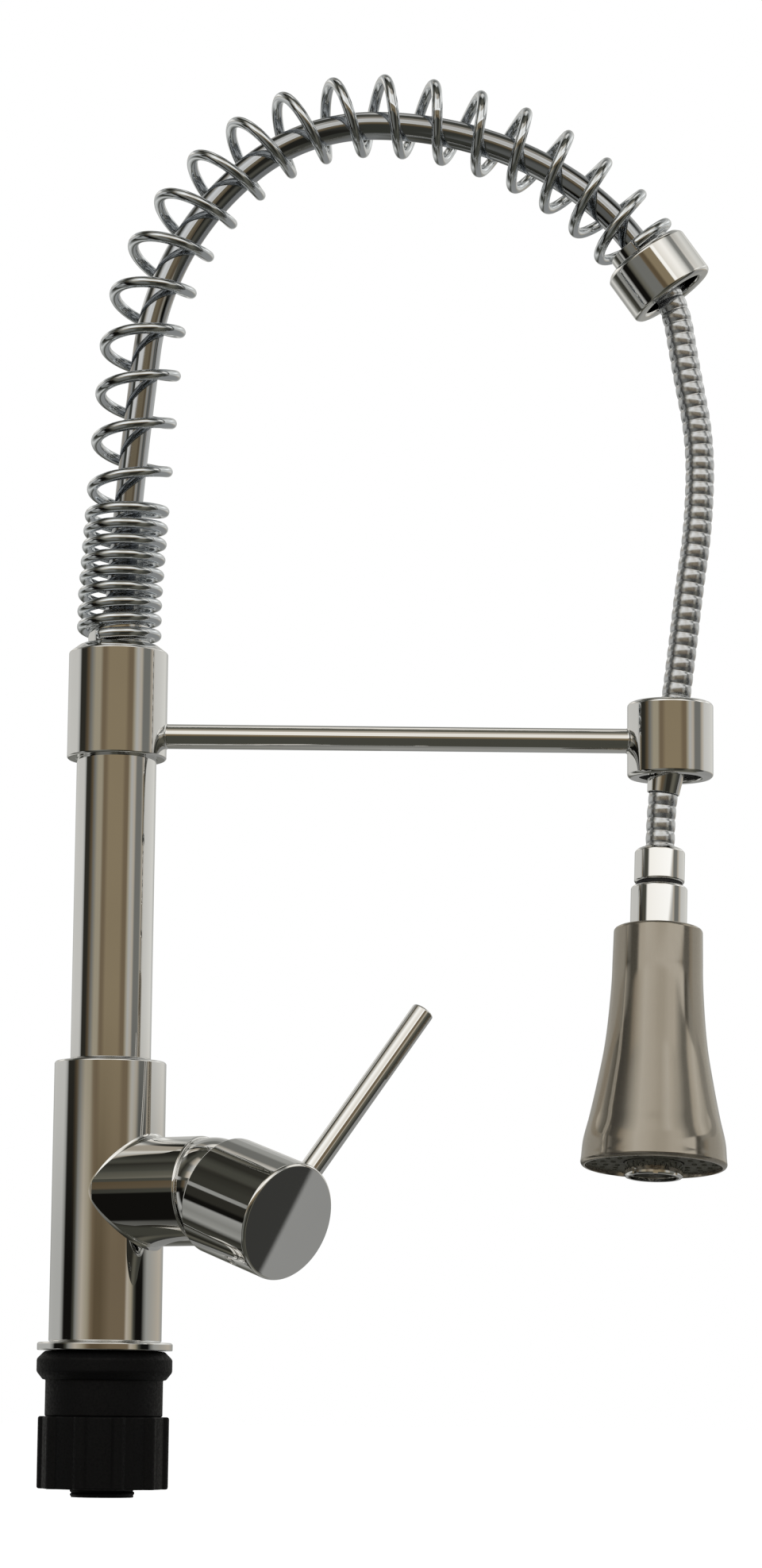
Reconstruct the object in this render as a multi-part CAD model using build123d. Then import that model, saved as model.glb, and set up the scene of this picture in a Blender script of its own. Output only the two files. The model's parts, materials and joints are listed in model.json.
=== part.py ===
from build123d import *
from math import cos, pi, radians, sin, sqrt, tan
import os

# Single-lever kitchen faucet with a spring neck. Millimetres, +Z up, origin on the deck under the body.
# The neck lies in the XZ plane with the spray head on the +X side.

# Clearances and edges shared by all pieces
fit_gap = 0.05  # between pieces that turn or slide on each other
free_gap = 0.3  # air between pieces that move past each other
edge = 0.6  # broken edge of a turned piece
overrun = 1.0  # how far a cut runs past the face that it opens
small_turn = 0.001  # degrees under which a bend counts as straight
corner_share = 0.45  # how much of a run each of its two corners may use

# Deck plate, gasket, shank and nut
plate_radius = 30.0
plate_height = 3.5
gasket_radius = 27.0
gasket_bore = 20.0
gasket_height = 1.6
shank_radius = 14.25
shank_bore = 12.0
shank_drop = 64.0
shank_grip = 14.0
shank_lead = 1.2
nut_flange_radius = 30.0
nut_flange_height = 12.6
nut_flange_bevel = 3.5
nut_neck_radius = 26.0
nut_neck_height = 16.0
nut_grip_radius = 29.0
nut_grip_height = 31.5
nut_grip_core = 26.9
nut_rib_radius = 3.4
nut_rib_count = 10

# Faucet body with its slanted valve branch
body_radius = 25.0
body_top = 128.0
body_bevel = 0.8
branch_azimuth = -32.0
branch_height = 69.5
branch_radius = 24.0
branch_reach = 52.0
inlet_thread = 5.0
inlet_depth = 12.0
inlet_spread = 6.25
port_radius = 3.0
port_offset = 6.5
outlet_radius = 5.0
thread_bore = 20.0
thread_depth = 8.0

# Cartridge in the branch, measured outwards from the axis of the body
seat_reach = 26.0
cartridge_radius = 17.4
cartridge_length = 18.0
cartridge_floor = 4.0
cartridge_neck_radius = 14.0
cartridge_neck_length = 16.0
chamber_radius = 16.0
chamber_length = 13.0
seal_height = 1.2
seal_wall = 1.2
fixed_disc_radius = 13.4
fixed_disc_height = 3.5
moving_disc_radius = 8.4
moving_disc_height = 3.2
carrier_height = 5.5
carrier_socket = 3.3
clamp_nut_height = 5.0
clamp_nut_slots = 4
clamp_slot_width = 4.0
clamp_slot_depth = 2.0

# Pivot of the lever, its turning guide and its stem
pivot_reach = 57.0
rotor_radius = 11.25
rotor_below = 13.5
rotor_above = 5.0
rotor_slot = 9.3
stem_side = 8.0
stem_gap = 0.2
stem_square = 5.0
stem_depth = 17.0
stem_pin_radius = 1.8
stem_ball = 2.5
stem_reach = 39.0
pivot_pin_radius = 1.5
pivot_pin_length = 20.0

# Domed bonnet
dome_radius = 23.2
dome_wall = 2.4
dome_front = 15.0
dome_floor = 3.0
skirt_bore = 16.0
skirt_length = 2.8

# Handle: cap, lever and set screw, at rest turned aside and lifted
handle_turn = 29.8
handle_lift = 21.0
cap_radius = 26.2
cap_back = 7.9
cap_front = 48.1
cap_bore = 23.6
cap_cavity = 27.0
cap_edge = 1.0
lever_radius = 5.1
lever_reach = 114.0
lever_root = 20.0
lever_set = 40.9
screw_radius = 2.5
screw_set = 33.0
screw_length = 16.0
screw_socket = 1.3
screw_socket_depth = 3.0

# Swivel between the body and the riser
socket_depth = 24.0
nipple_radius = 14.0
nipple_bore = 9.0
nipple_rise = 45.0
ring_section = 0.8
ring_groove = 12.4
ring_groove_width = 1.9
ring_heights = (12.0, 21.0)
washer_height = 0.8
bush_length = 36.0
clip_height = 1.2
clip_bore = 12.8
clip_radius = 15.5

# Riser tube and its collar
riser_radius = 18.0
riser_wall = 1.5
collar_radius = 22.5
collar_length = 52.0
collar_top = 317.0
collar_bevel_run = 4.5
collar_bevel_rise = 3.5
collar_web = 14.0
collar_seal_section = 0.7
spigot_radius = 14.0
spigot_bore = 11.6
spigot_height = 9.0
grub_radius = 2.0
grub_drop = 30.0  # below the collar's top

# Arm and docking ring
arm_radius = 5.6
arm_drop = 41.2  # below the collar's top
arm_socket = 3.5
dock_reach = 250.7
dock_drop = 17.0  # of the ring's foot below the arm
dock_height = 34.5
dock_radius = 19.5
dock_bore = 14.0
dock_edge = 1.2
dock_inset = 2.2
dock_lean = 7.6
dock_bush_bore = 8.8

# Arch of the neck, from the top of the collar: a straight lead, arcs of radius and turn, a straight tail
arch_lead = 16.5
arch_arcs = ((165.0, 3.5), (20000.0, 0.32), (131.0, 47.2), (92.5, 38.8), (151.5, 54.7))
arch_tail = 26.0

# Neck spring
wire_radius = 2.5
coil_radius = 16.75
seat_pitch = 7.0
closed_pitch = 7.28
open_pitch = 22.9
last_pitch = 19.6
closed_turns = 7.0
blend_turns = 1.1
spring_start = 240.0  # where round the neck the wire begins, in degrees

# Spring cap at the end of the arch
end_cap_length = 24.0
end_cap_radius = 20.6
end_cap_top_bevel = 2.0
end_cap_rim = 1.2
end_cap_web = 3.0
end_cap_bore = 14.5
end_cap_spigot = 6.0
grommet_radius = 9.0
grommet_lip = 1.2

# Water hose: smooth in the arch, ribbed where it is free
hose_radius = 6.5
hose_bore = 4.0
hose_sag = 4.8
hose_sag_lean = 1.3
hose_stations = 12
hose_tail_radius = 3.9
barb_bore = 2.8
barb_length = 16.0
hex_radius = 9.5
hex_height = 4.0
thread_radius = 7.0
ferrule_radius = 7.8
ferrule_height = 12.0
rib_crest = 6.6
rib_valley = 5.95
rib_pitch = 5.9
rib_bore = 4.2
rib_shares = (0.0, 0.1, 0.62, 0.74)

# Route of the free hose, chosen by hand: steps in X and Z from the arch end, then from the middle of the ring
route_from_arch = ((5.4, -34.0), (12.4, -70.0))
route_from_dock = ((12.9, 98.2), (8.5, 68.7))
free_entry = 40.0  # above the middle of the ring, where the hose is in line with the ring's sleeve

# Docking sleeve on the hose and the short hose below it
sleeve_top = 10.0
sleeve_drop = 14.0
sleeve_tail = 24.5
sleeve_radius = 8.5
sleeve_lead = 1.0
short_bend = 26.0  # below the sleeve's middle, where the short hose turns towards the head
short_entry = 9.0  # above the hose nut, where it is in line with the head

# Spray head, measured down its own axis from the top of the hose nut
head_shift = 4.7  # from the ring's axis back to the head
head_drop = 49.8  # below the ring's middle
head_lean = 1.55  # in the plane of the neck
head_tip = 6.0  # towards the front
hose_nut_radius = 11.35
hose_nut_length = 15.6
hose_nut_bevel = 1.5
hose_seat = 8.0
spindle_radius = 7.4
spindle_bore = 3.0
spindle_tail = 1.0
spindle_flange = 9.2
spindle_flange_height = 3.0
spindle_end = 30.0
seam_height = 1.8
seam_radius = 10.4
neck_radius = 12.75
neck_length = 19.4
neck_lip = 3.5
neck_bevel = 1.0
neck_tail_radius = 10.5
neck_tail = 8.0
bell_length = 107.9
bell_wall = 2.2
bell_radii = (20.0, 20.3, 21.1, 23.0, 25.8, 29.1, 31.7, 32.6)
bell_shares = (0.0, 0.156, 0.32, 0.5, 0.648, 0.797, 0.895, 0.965)
bell_top_edge = 1.6
bell_rim_edge = 0.9
bell_roof = 3.0
core_wall = 2.0
core_top = 6.0
valve_radius = 8.0
valve_length = 14.0
face_height = 3.5
face_recess = 2.0
face_bore = 13.5
nozzle_radius = 1.1
nozzle_ring_radii = (18.0, 22.5, 27.0)
nozzle_ring_counts = (12, 16, 20)
aerator_radius = 13.0
aerator_length = 18.0
aerator_drop = 4.6
aerator_wall = 1.8
aerator_notches = 8
notch_width = 2.2
notch_depth = 2.4
mesh_height = 5.0
mesh_recess = 1.6
mesh_pitch = 3.2
mesh_bar = 0.9

# Heights and reaches that several pieces share
body_bottom = plate_height
socket_top = body_bottom + shank_grip + edge
riser_bottom = body_top + washer_height
web_bottom = collar_top - collar_web
collar_bottom = collar_top - collar_length
grub_height = collar_top - grub_drop
arm_height = collar_top - arm_drop
dock_bottom = arm_height - dock_drop
dock_middle = dock_bottom + dock_height / 2
clamp_reach = branch_reach - thread_depth
riser_bore = riser_radius - riser_wall
spindle_head = hose_nut_length + seam_height + neck_lip


def rod(radius, start, end):
    """Round bar along Z between two heights."""
    return Pos(0, 0, start) * Cylinder(radius, end - start, align=(Align.CENTER, Align.CENTER, Align.MIN))


def tube(outer, inner, start, end):
    """Round tube along Z between two heights."""
    return rod(outer, start, end) - rod(inner, start - overrun, end + overrun)


def turned(outline):
    """Solid turned about Z from points of radius and height."""
    return revolve(make_face(Polyline(*[(r, 0, z) for r, z in outline], close=True)), Axis.Z)


def around(count, radius, piece, start=0.0):
    """The same piece repeated round the Z axis."""
    return [Rot(0, 0, start + 360 * i / count) * Pos(radius, 0, 0) * piece for i in range(count)]


# Frames: the valve branch, the turned guide, the lifted handle, the dock and the spray head
branch_out = Vector(cos(radians(branch_azimuth)), sin(radians(branch_azimuth)), 0)
valve = Plane(origin=(0, 0, branch_height), x_dir=(0, 0, 1), z_dir=branch_out).location
turned_guide = valve * Pos(0, 0, pivot_reach) * Rot(0, 0, -handle_turn)
handle = turned_guide * Rot(0, -handle_lift, 0)
dock_up = Vector(sin(radians(dock_lean)), 0, cos(radians(dock_lean)))
dock = Plane(origin=(dock_reach, 0, dock_middle), x_dir=(0, 1, 0), z_dir=dock_up).location
head_down = Vector(-sin(radians(head_lean)), -sin(radians(head_tip)), 0)
head_down = head_down + Vector(0, 0, -sqrt(1 - head_down.length**2))
head_top = (dock_reach - head_shift, 0, dock_middle - head_drop)
head = Plane(origin=head_top, x_dir=(0, 1, 0), z_dir=head_down).location


def at(place, z):
    """Point on the Z axis of a frame."""
    return (place * Pos(0, 0, z)).position


# Centre line of the arch
def arch_at(length):
    """Point, direction and curvature of the arch at a length from the collar top."""
    if length <= arch_lead:
        return Vector(0, 0, collar_top + length), Vector(0, 0, 1), 0
    x, z, lean, left = 0.0, collar_top + arch_lead, 0.0, length - arch_lead
    for radius, turn in arch_arcs:
        step = min(left, radius * radians(turn))
        after = lean + step / radius
        x = x + radius * (cos(lean) - cos(after))
        z = z + radius * (sin(after) - sin(lean))
        lean = after
        left = left - step
        if left <= 0:
            return Vector(x, 0, z), Vector(sin(lean), 0, cos(lean)), 1 / radius
    aim = Vector(sin(lean), 0, cos(lean))
    return Vector(x, 0, z) + aim * left, aim, 0


def inward(direction):
    """Direction across the arch, towards its inside."""
    return Vector(direction.Z, 0, -direction.X)


arch_length = arch_lead + sum(radius * radians(turn) for radius, turn in arch_arcs) + arch_tail
arch_end, arch_aim, _ = arch_at(arch_length)
end_cap = Plane(origin=arch_end, x_dir=(0, 1, 0), z_dir=-arch_aim).location
wire_lead = 2 * wire_radius
wire_seat = wire_radius + fit_gap + wire_lead * seat_pitch / (2 * pi * coil_radius)
spring_room = arch_length - end_cap_length - 2 * wire_seat


def arc_or_line(start, aim, end):
    """The arc that leaves start along aim and reaches end, or a line where they are in line."""
    if aim.get_angle(end - start) < small_turn:
        return Edge.make_line(start, end)
    return Edge.make_tangent_arc(start, aim, end)


def two_arcs(start, aim, end, end_aim):
    """Two tangent arcs that leave start along aim and reach end along end_aim."""
    across = end - start
    both = aim + end_aim
    a = 2 * (1 - aim.dot(end_aim))
    b = 2 * across.dot(both)
    c = across.dot(across)
    reach = 2 * c / (sqrt(b * b + 4 * a * c) + b)
    first = start + aim * reach
    second = end - end_aim * reach
    middle = (first + second) * 0.5
    return [arc_or_line(start, aim, middle), arc_or_line(middle, second - first, end)]


def joined_arcs(stations):
    """One wire of tangent arcs through points that each have a direction."""
    edges = []
    for (start, aim), (end, end_aim) in zip(stations, stations[1:]):
        edges = edges + two_arcs(start, aim.normalized(), end, end_aim.normalized())
    return edges


# Coils of the spring: pitch rises and falls in straight steps of (turns, first pitch, last pitch)
def spring_stretches():
    ends = [(1.0, seat_pitch, seat_pitch), (closed_turns, closed_pitch, closed_pitch)]
    ends = ends + [(blend_turns, closed_pitch, open_pitch), (1.0, last_pitch, seat_pitch)]
    used = sum(turns * (first + last) / 2 for turns, first, last in ends)
    open_turns = 2 * (spring_room - used) / (open_pitch + last_pitch)
    return ends[:-1] + [(open_turns, open_pitch, last_pitch), ends[-1]]


def coil_at(turn, stretches):
    """Point and direction of the wire after so many turns."""
    along, left, pitch = wire_seat, turn, stretches[0][1]
    for turns, first, last in stretches:
        part = min(left, turns)
        pitch = first + (last - first) * part / turns
        along = along + part * (first + pitch) / 2
        left = left - part
        if left <= 0:
            break
    centre, aim, bend = arch_at(along)
    side = inward(aim)
    spin = radians(spring_start) + 2 * pi * turn
    out = side * cos(spin) + Vector(0, sin(spin), 0)
    swing = side * -sin(spin) + Vector(0, cos(spin), 0)
    rise = aim * (pitch / (2 * pi)) * (1 - bend * coil_radius * cos(spin))
    return centre + out * coil_radius, (swing * coil_radius + rise).normalized()


def least_gap(points, skip):
    """Smallest distance between points of a wire that lie more than skip steps apart."""
    best = None
    for i, p in enumerate(points):
        for q in points[i + skip : i + 3 * skip]:
            apart = (p - q).length
            best = apart if best is None else min(best, apart)
    return best


def arch_spring():
    stretches = spring_stretches()
    total = sum(turns for turns, _, _ in stretches)
    halves = round(2 * total)
    stations = [coil_at(total * i / halves, stretches) for i in range(halves + 1)]
    start, aim = stations[0]
    end, end_aim = stations[-1]
    edges = [Edge.make_line(start - aim * wire_lead, start)] + joined_arcs(stations)
    edges = edges + [Edge.make_line(end, end + end_aim * wire_lead)]
    steps = 40
    points = [coil_at(i / steps, stretches)[0] for i in range(int(total * steps))]
    gap = least_gap(points, steps // 2) - 2 * wire_radius
    print("spring turns", round(total, 2), "least gap between its turns", round(gap, 2))
    profile = Plane(origin=start - aim * wire_lead, z_dir=aim) * Circle(wire_radius)
    return sweep(profile, path=Wire(edges))


# Pieces under and at the deck
def base_plate():
    low = [(shank_radius + free_gap, 0), (gasket_bore, 0), (gasket_bore, gasket_height)]
    out = [(gasket_radius, gasket_height), (gasket_radius, 0), (plate_radius, 0)]
    top = [(plate_radius, plate_height - edge), (plate_radius - edge, plate_height)]
    return turned(low + out + top + [(shank_radius + free_gap, plate_height)])


def base_gasket():
    return tube(gasket_radius, gasket_bore, 0, gasket_height)


def threaded_shank():
    tip = [(shank_bore, -shank_drop), (shank_radius - shank_lead, -shank_drop)]
    side = [(shank_radius, shank_lead - shank_drop), (shank_radius, body_bottom + shank_grip)]
    return turned(tip + side + [(shank_bore, body_bottom + shank_grip)])


def mounting_nut():
    bore = shank_radius + 2 * fit_gap
    top = -free_gap
    flange_low = top - nut_flange_height
    neck_low = flange_low - nut_neck_height
    bottom = neck_low - nut_grip_height
    upper = [(bore, top), (nut_flange_radius - nut_flange_bevel, top)]
    upper = upper + [(nut_flange_radius, top - nut_flange_bevel)]
    lower = [(nut_flange_radius, flange_low + nut_flange_bevel), (nut_neck_radius, flange_low)]
    foot = [(nut_neck_radius, neck_low), (nut_grip_core, neck_low), (nut_grip_core, bottom), (bore, bottom)]
    nut = turned(upper + lower + foot)
    rib_reach = nut_grip_radius - nut_rib_radius
    rib = rod(nut_rib_radius, bottom, neck_low)
    for piece in around(nut_rib_count, rib_reach, rib):
        nut = nut + piece
    return nut


# Body casting
def faucet_body():
    column = [(0, body_bottom), (body_radius - edge, body_bottom), (body_radius, body_bottom + edge)]
    crown = [(body_radius, body_top - body_bevel), (body_radius - body_bevel, body_top), (0, body_top)]
    body = turned(column + crown)
    end = [(0, 0), (branch_radius, 0), (branch_radius, branch_reach - edge)]
    body = body + valve * turned(end + [(branch_radius - edge, branch_reach), (0, branch_reach)])
    body = body - rod(shank_radius + fit_gap, body_bottom - overrun, socket_top)
    body = body - rod(nipple_radius, body_top - socket_depth, body_top + overrun)
    outlet_height = branch_height + port_offset
    body = body - rod(outlet_radius, outlet_height, body_top)
    body = body - valve * Pos(port_offset, 0, 0) * rod(outlet_radius, 0, seat_reach + overrun)
    body = body - valve * rod(cartridge_radius + fit_gap, seat_reach, branch_reach + overrun)
    body = body - valve * rod(thread_bore, clamp_reach, branch_reach + overrun)
    for side in (-1, 1):
        inlet = Rot(0, 0, branch_azimuth) * Pos(0, side * inlet_spread, 0)
        body = body - inlet * rod(inlet_thread, socket_top - overrun, socket_top + inlet_depth)
        body = body - inlet * rod(port_radius, socket_top, branch_height - port_offset)
        port = Pos(-port_offset, side * inlet_spread, 0) * rod(port_radius, 0, seat_reach + overrun)
        body = body - valve * port
    return body


# Cartridge: three ports in its floor, two low and one high
def at_ports(piece):
    low = [Pos(-port_offset, side * inlet_spread, 0) * piece for side in (-1, 1)]
    return low + [Pos(port_offset, 0, 0) * piece]


def cartridge_housing():
    foot = seat_reach
    floor = foot + cartridge_floor
    shoulder = foot + cartridge_length
    chamber_end = floor + chamber_length
    top = shoulder + cartridge_neck_length
    guide = rotor_radius + fit_gap
    outer = [(0, foot), (cartridge_radius, foot), (cartridge_radius, shoulder)]
    outer = outer + [(cartridge_neck_radius, shoulder)]
    inner = [(guide, top), (guide, chamber_end), (chamber_radius, chamber_end)]
    inner = inner + [(chamber_radius, floor), (0, floor)]
    housing = turned(outer + [(cartridge_neck_radius, top)] + inner)
    for hole in at_ports(rod(port_radius, foot - overrun, floor + overrun)):
        housing = housing - hole
    for seat in at_ports(rod(port_radius + seal_wall, foot - overrun, foot + seal_height)):
        housing = housing - seat
    return valve * housing


def cartridge_seals():
    ring = tube(port_radius + seal_wall, port_radius, seat_reach, seat_reach + seal_height)
    return Compound(children=[valve * piece for piece in at_ports(ring)])


def fixed_disc():
    floor = seat_reach + cartridge_floor
    disc = rod(fixed_disc_radius, floor, floor + fixed_disc_height)
    for hole in at_ports(rod(port_radius, floor - overrun, floor + fixed_disc_height + overrun)):
        disc = disc - hole
    return valve * disc


disc_top = seat_reach + cartridge_floor + fixed_disc_height + fit_gap - pivot_reach
disc_shift = stem_depth * sin(radians(handle_lift))


def moving_disc():
    disc = rod(moving_disc_radius, disc_top, disc_top + moving_disc_height)
    disc = disc - rod(port_radius, disc_top - overrun, disc_top + moving_disc_height / 2)
    return turned_guide * Pos(disc_shift, 0, 0) * disc


def disc_carrier():
    bottom = disc_top + moving_disc_height
    body = rod(moving_disc_radius, bottom, bottom + carrier_height)
    body = body - rod(carrier_socket, bottom, bottom + carrier_height + overrun)
    return turned_guide * Pos(disc_shift, 0, 0) * body


def cartridge_rotor():
    height = rotor_below + rotor_above
    slot = Box(2 * rotor_slot, stem_side + 2 * stem_gap, height + 2 * overrun)
    middle = (rotor_above - rotor_below) / 2
    rotor = rod(rotor_radius, -rotor_below, rotor_above) - Pos(0, 0, middle) * slot
    pin = Rot(90, 0, 0) * rod(pivot_pin_radius, -rotor_radius - overrun, rotor_radius + overrun)
    return turned_guide * (rotor - pin)


def pivot_pin():
    half = pivot_pin_length / 2
    return turned_guide * Rot(90, 0, 0) * rod(pivot_pin_radius, -half, half)


def lever_stem():
    length = stem_square + stem_reach
    square = Pos(0, 0, (stem_reach - stem_square) / 2) * Box(stem_side, stem_side, length)
    pin = rod(stem_pin_radius, -stem_depth, -stem_square)
    stem = square + pin + Pos(0, 0, -stem_depth) * Sphere(stem_ball)
    hole = Rot(90, 0, 0) * rod(pivot_pin_radius + fit_gap, -stem_side, stem_side)
    return handle * (stem - hole)


def cartridge_nut():
    bore = cartridge_neck_radius + free_gap
    nut = tube(thread_bore, bore, clamp_reach, clamp_reach + clamp_nut_height)
    slot = Box(2 * (thread_bore - bore + overrun), clamp_slot_width, 2 * clamp_slot_depth)
    for piece in around(clamp_nut_slots, thread_bore, Pos(0, 0, clamp_reach + clamp_nut_height) * slot):
        nut = nut - piece
    return valve * nut


def bonnet_dome():
    back = branch_reach - pivot_reach
    inner = dome_radius - dome_wall
    low = back - skirt_length
    lip = sqrt(dome_radius**2 - dome_front**2)
    mouth = sqrt(inner**2 - dome_front**2)
    rim = sqrt(dome_radius**2 - back**2)
    inner_floor = back + dome_floor
    inner_rim = sqrt(inner**2 - inner_floor**2)
    outline = [Line((skirt_bore, 0, low), (thread_bore, 0, low))]
    outline.append(Line((thread_bore, 0, low), (thread_bore, 0, back)))
    outline.append(Line((thread_bore, 0, back), (rim, 0, back)))
    outline.append(ThreePointArc((rim, 0, back), (dome_radius, 0, 0), (lip, 0, dome_front)))
    outline.append(Line((lip, 0, dome_front), (mouth, 0, dome_front)))
    outline.append(ThreePointArc((mouth, 0, dome_front), (inner, 0, 0), (inner_rim, 0, inner_floor)))
    outline.append(Line((inner_rim, 0, inner_floor), (skirt_bore, 0, inner_floor)))
    outline.append(Line((skirt_bore, 0, inner_floor), (skirt_bore, 0, low)))
    return valve * Pos(0, 0, pivot_reach) * revolve(make_face(Wire(outline)), Axis.Z)


# Handle
def handle_cap():
    back = [(cap_bore, cap_cavity), (cap_bore, cap_back)]
    back = back + [(cap_radius - edge, cap_back), (cap_radius, cap_back + edge)]
    front = [(cap_radius, cap_front - cap_edge), (cap_radius - cap_edge, cap_front), (0, cap_front)]
    cap = turned([(0, cap_cavity)] + back + front)
    side = stem_side + 2 * fit_gap
    socket_end = stem_reach + edge
    depth = socket_end - cap_cavity + overrun
    cap = cap - Pos(0, 0, socket_end - depth / 2) * Box(side, side, depth)
    cap = cap - Pos(0, 0, lever_set) * Rot(0, 90, 0) * rod(lever_radius, lever_root, cap_radius + overrun)
    cap = cap - Pos(0, 0, screw_set) * Rot(0, -90, 0) * rod(screw_radius, stem_side / 2, cap_radius + overrun)
    return handle * cap


def lever_rod():
    tip = [(lever_radius, lever_reach - edge), (lever_radius - edge, lever_reach), (0, lever_reach)]
    bar = turned([(0, lever_root), (lever_radius, lever_root)] + tip)
    return handle * Pos(0, 0, lever_set) * Rot(0, 90, 0) * bar


def handle_screw():
    start = stem_side / 2 + fit_gap
    end = start + screw_length
    screw = rod(screw_radius, start, end)
    socket = Pos(0, 0, end) * RegularPolygon(screw_socket, 6)
    screw = screw - extrude(socket, -screw_socket_depth)
    return handle * Pos(0, 0, screw_set) * Rot(0, -90, 0) * screw


# Swivel and riser
def swivel_nipple():
    top = body_top + nipple_rise
    nipple = tube(nipple_radius, nipple_bore, body_top - socket_depth, top)
    for height in ring_heights:
        middle = body_top + height
        half = ring_groove_width / 2
        nipple = nipple - tube(nipple_radius + overrun, ring_groove, middle - half, middle + half)
    clip_low = riser_bottom + bush_length
    groove = tube(nipple_radius + overrun, clip_bore, clip_low, clip_low + clip_height + 2 * free_gap)
    return nipple - groove


def swivel_rings():
    rings = []
    for height in ring_heights:
        rings.append(Pos(0, 0, body_top + height) * Torus(ring_groove + ring_section, ring_section))
    return Compound(children=rings)


def swivel_washer():
    return tube(riser_radius - edge, nipple_radius + free_gap, body_top, riser_bottom - fit_gap)


def swivel_clip():
    low = riser_bottom + bush_length + free_gap
    return tube(clip_radius, clip_bore, low, low + clip_height)


def riser_bush():
    return tube(riser_bore, nipple_radius + 2 * fit_gap, riser_bottom, riser_bottom + bush_length)


def riser_tube():
    low = [(riser_bore, riser_bottom), (riser_radius - edge / 2, riser_bottom)]
    low = low + [(riser_radius, riser_bottom + edge / 2)]
    return turned(low + [(riser_radius, web_bottom), (riser_bore, web_bottom)])


def support_collar():
    bore = riser_radius + fit_gap
    groove_top = web_bottom + 2 * collar_seal_section
    low = [(bore, groove_top), (bore, collar_bottom), (collar_radius - edge, collar_bottom)]
    side = [(collar_radius, collar_bottom + edge), (collar_radius, collar_top - collar_bevel_rise)]
    top = [(collar_radius - collar_bevel_run, collar_top), (spigot_radius, collar_top)]
    spigot_top = collar_top + spigot_height
    spigot = [(spigot_radius, spigot_top), (spigot_bore, spigot_top), (spigot_bore, collar_top)]
    hole = [(thread_radius, collar_top), (thread_radius, web_bottom)]
    groove = [(riser_bore, web_bottom), (riser_bore, groove_top)]
    collar = turned(low + side + top + spigot + hole + groove)
    seat = collar_radius - arm_socket
    collar = collar - Pos(0, 0, arm_height) * Rot(0, 90, 0) * rod(arm_radius, seat, collar_radius + overrun)
    return collar - Pos(0, 0, grub_height) * Rot(0, -90, 0) * rod(grub_radius, 0, collar_radius + overrun)


def collar_screw():
    start = riser_radius + fit_gap
    screw = rod(grub_radius, start, collar_radius - edge)
    socket = Pos(0, 0, collar_radius - edge) * RegularPolygon(grub_radius / 2, 6)
    screw = screw - extrude(socket, -grub_radius)
    return Pos(0, 0, grub_height) * Rot(0, -90, 0) * screw


def collar_seal():
    middle = (riser_bore + riser_radius) / 2
    return Pos(0, 0, web_bottom + collar_seal_section) * Torus(middle, collar_seal_section)


def arm_rod():
    start = collar_radius - arm_socket
    end = dock_reach - dock_radius + arm_socket
    return Pos(0, 0, arm_height) * Rot(0, 90, 0) * rod(arm_radius, start, end)


# Docking ring at the end of the arm
def docking_ring():
    top = dock_bottom + dock_height
    low = [(dock_bore, dock_bottom + edge), (dock_bore + edge, dock_bottom)]
    low = low + [(dock_radius - dock_edge, dock_bottom)]
    side = [(dock_radius, dock_bottom + dock_edge), (dock_radius, top - dock_edge)]
    side = side + [(dock_radius - dock_edge, top)]
    ring = Pos(dock_reach, 0, 0) * turned(low + side + [(dock_bore + edge, top), (dock_bore, top - edge)])
    end = dock_reach - dock_radius + arm_socket
    return ring - Pos(0, 0, arm_height) * Rot(0, 90, 0) * rod(arm_radius, end - 2 * arm_socket, end)


def dock_bush():
    low = dock_bottom + dock_inset
    high = dock_bottom + dock_height - dock_inset
    bush = Pos(dock_reach, 0, 0) * rod(dock_bore, low, high)
    return bush - dock * rod(dock_bush_bore, -dock_height, dock_height)


# Hose connection in the collar
def hose_nipple():
    hex_top = collar_top + hex_height
    nut = Pos(0, 0, collar_top) * extrude(RegularPolygon(hex_radius, 6), hex_height)
    nipple = rod(thread_radius, web_bottom, collar_top) + nut
    nipple = nipple + rod(hose_tail_radius, collar_top, hex_top + barb_length)
    return nipple - rod(barb_bore, web_bottom - overrun, hex_top + barb_length + overrun)


def hose_ferrule():
    hex_top = collar_top + hex_height
    return tube(ferrule_radius, hose_radius + fit_gap, hex_top, hex_top + ferrule_height)


def hose_line_at(length, start, end):
    """Point and direction of the hose in the arch: it hangs towards the inside of the bend."""
    centre, aim, bend = arch_at(length)
    share = (length - start) / (end - start)
    phase = pi * share**hose_sag_lean
    offset = hose_sag * (1 - cos(phase) ** 4)
    swell = 4 * hose_sag * cos(phase) ** 3 * sin(phase)
    rate = swell * pi * hose_sag_lean * share ** (hose_sag_lean - 1) / (end - start)
    side = inward(aim)
    return centre + side * offset, aim * (1 - bend * offset) + side * rate


def arch_hose():
    stiff = hex_height + ferrule_height
    start = hex_height
    end = arch_length - end_cap_length + end_cap_web
    free_end = end - stiff
    step = (free_end - stiff) / hose_stations
    stations = [hose_line_at(stiff + step * i, stiff, free_end) for i in range(hose_stations + 1)]
    straight = [(arch_at(start)[0], arch_at(start)[1])]
    tail = [(arch_at(end)[0], arch_at(end)[1])]
    edges = joined_arcs(straight + stations + tail)
    radii = [e.radius for e in edges if e.geom_type == GeomType.CIRCLE]
    length = sum(e.length for e in edges)
    path = Wire(edges)
    profile = Circle(hose_radius) - Circle(hose_bore)
    hose = sweep(Plane(origin=path @ 0, x_dir=(0, 1, 0), z_dir=path % 0) * profile, path=path)
    area = pi * (hose_radius**2 - hose_bore**2)
    print("arch hose length", round(length, 1), "least radius", round(min(radii), 1))
    print("arch hose volume against section times length", round(hose.volume / (area * length), 4))
    return hose


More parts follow.
